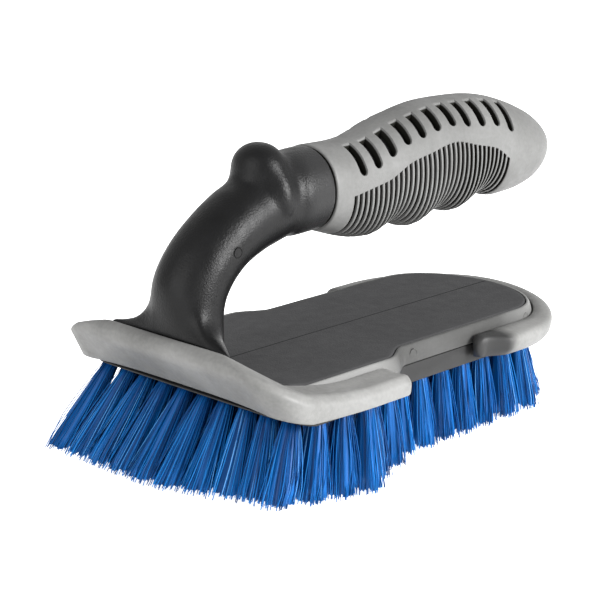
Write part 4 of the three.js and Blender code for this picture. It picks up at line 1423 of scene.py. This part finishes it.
def tuft_row(row, material):
    """One row of tufts, kept inside the box of its CAD node."""
    random = np.random.default_rng(FIRST_SEED + row)
    ys = tuft_ys(row_x(row))
    reach_y = (ys[1] - ys[0]) * SIDE_SPREAD / 2 + TIP_OVERLAP
    name = f"tuft_row_{row + 1:02d}"
    low, high = node_box(name)
    paths = []
    hearts = []
    for y in ys:
        root, tip = tuft_line(row_x(row), y)
        paths.append(strand_paths(root, tip, reach_y, random))
        hearts.append(tuft_heart(root, tip, reach_y, random))
    paths = np.clip(np.concatenate(paths), low + STRAND_RADIUS, high - STRAND_RADIUS)
    hearts = [(np.clip(verts, low, high), faces) for verts, faces in hearts]
    verts, faces = joined([strands_mesh(paths), *hearts])
    mesh = bpy.data.meshes.new(name + "_strands")
    mesh.from_pydata((verts * MM).tolist(), [], faces)
    mesh.shade_smooth()
    # Each strand's random tone, with painted shade on the hearts and on the tufts inside the row.
    strand = mesh.attributes.new("strand", "FLOAT", "POINT")
    strand.data.foreach_set("value", row_shades(len(ys), 1.0 if row == 0 else INNER_PAINTED_SHADE, random))
    settle(in_scene(name + "_strands", mesh), material, "bristle", name)


# ---------------------------------------------------------------- stage

# Metres, and how strongly the floor shines against the white all round it.
FLOOR_HALF_WIDTH = 6.0
FLOOR_GLOW = 0.85
# Each light: place in metres, its two sides in metres, and watts.
KEY_LIGHT = ((0.25, -0.85, 0.38), (0.35, 0.45), 24)
FILL_LIGHT = ((-1.0, 0.0, 0.45), (0.9, 0.9), 8.5)
# The camera: place in metres, degrees turned right of +Y and tilted down, and lens in millimetres.
VIEW_PLACE = (-0.4832, -0.4450, 0.2365)
VIEW_TURN = 45.6
VIEW_TILT_DOWN = 16.0
VIEW_LENS = 114.0


def floor():
    """A wide pale floor that glows a little, so that it stays white under the brush."""
    grid = bmesh.new()
    bmesh.ops.create_grid(grid, x_segments=8, y_segments=8, size=FLOOR_HALF_WIDTH)
    mesh = bpy.data.meshes.new("floor")
    grid.to_mesh(mesh)
    grid.free()
    piece = in_scene("floor", mesh)
    nodes = Nodes("floor_paper")
    soft = nodes.mottle(3, 2)
    nodes.colour(nodes.mix(soft, (0.90, 0.90, 0.90), (0.92, 0.92, 0.92)))
    nodes.hold("Roughness", 0.9)
    nodes.hold("Emission Color", (1, 1, 1, 1))
    nodes.hold("Emission Strength", FLOOR_GLOW)
    mesh.materials.append(nodes.material)


def area_light(name, target, place, size, power):
    light = bpy.data.lights.new(name, "AREA")
    light.shape = "RECTANGLE"
    light.size, light.size_y = size
    light.energy = power
    lamp = in_scene(name, light)
    lamp.location = place
    lamp.rotation_euler = (target - Vector(place)).to_track_quat("-Z", "Y").to_euler()


def studio(target):
    world = bpy.data.worlds.new("studio")
    world.use_nodes = True
    background = world.node_tree.nodes["Background"]
    background.inputs["Color"].default_value = (1, 1, 1, 1)
    background.inputs["Strength"].default_value = 1.0
    bpy.context.scene.world = world
    area_light("key", target, *KEY_LIGHT)
    area_light("fill", target, *FILL_LIGHT)


def camera():
    """A long lens from the front right of the brush, a little above it."""
    data = bpy.data.cameras.new("camera")
    data.lens = VIEW_LENS
    data.sensor_width = 36.0
    view = in_scene("camera", data)
    view.location = VIEW_PLACE
    view.rotation_euler = (math.radians(90 - VIEW_TILT_DOWN), 0, math.radians(-VIEW_TURN))
    bpy.context.scene.camera = view


# ---------------------------------------------------------------- the brush

handle()
deck_line()
grip()
rubber = bumper_rubber()
front_bumper(rubber)
rear_bumper(rubber)
rim_band()
bristle_block()
fibre = bristle_fibre()
for row in range(ROW_COUNT):
    tuft_row(row, fibre)
steel = zinc_steel()
for name in SCREWS:
    screw = frame["nodes"][name]
    screw.data.materials.clear()
    screw.data.materials.append(steel)

middle = (Vector(cad_bounds[0]) + Vector(cad_bounds[1])) / 2
floor()
studio(middle)
camera()
bpy.context.scene.view_settings.view_transform = "Standard"
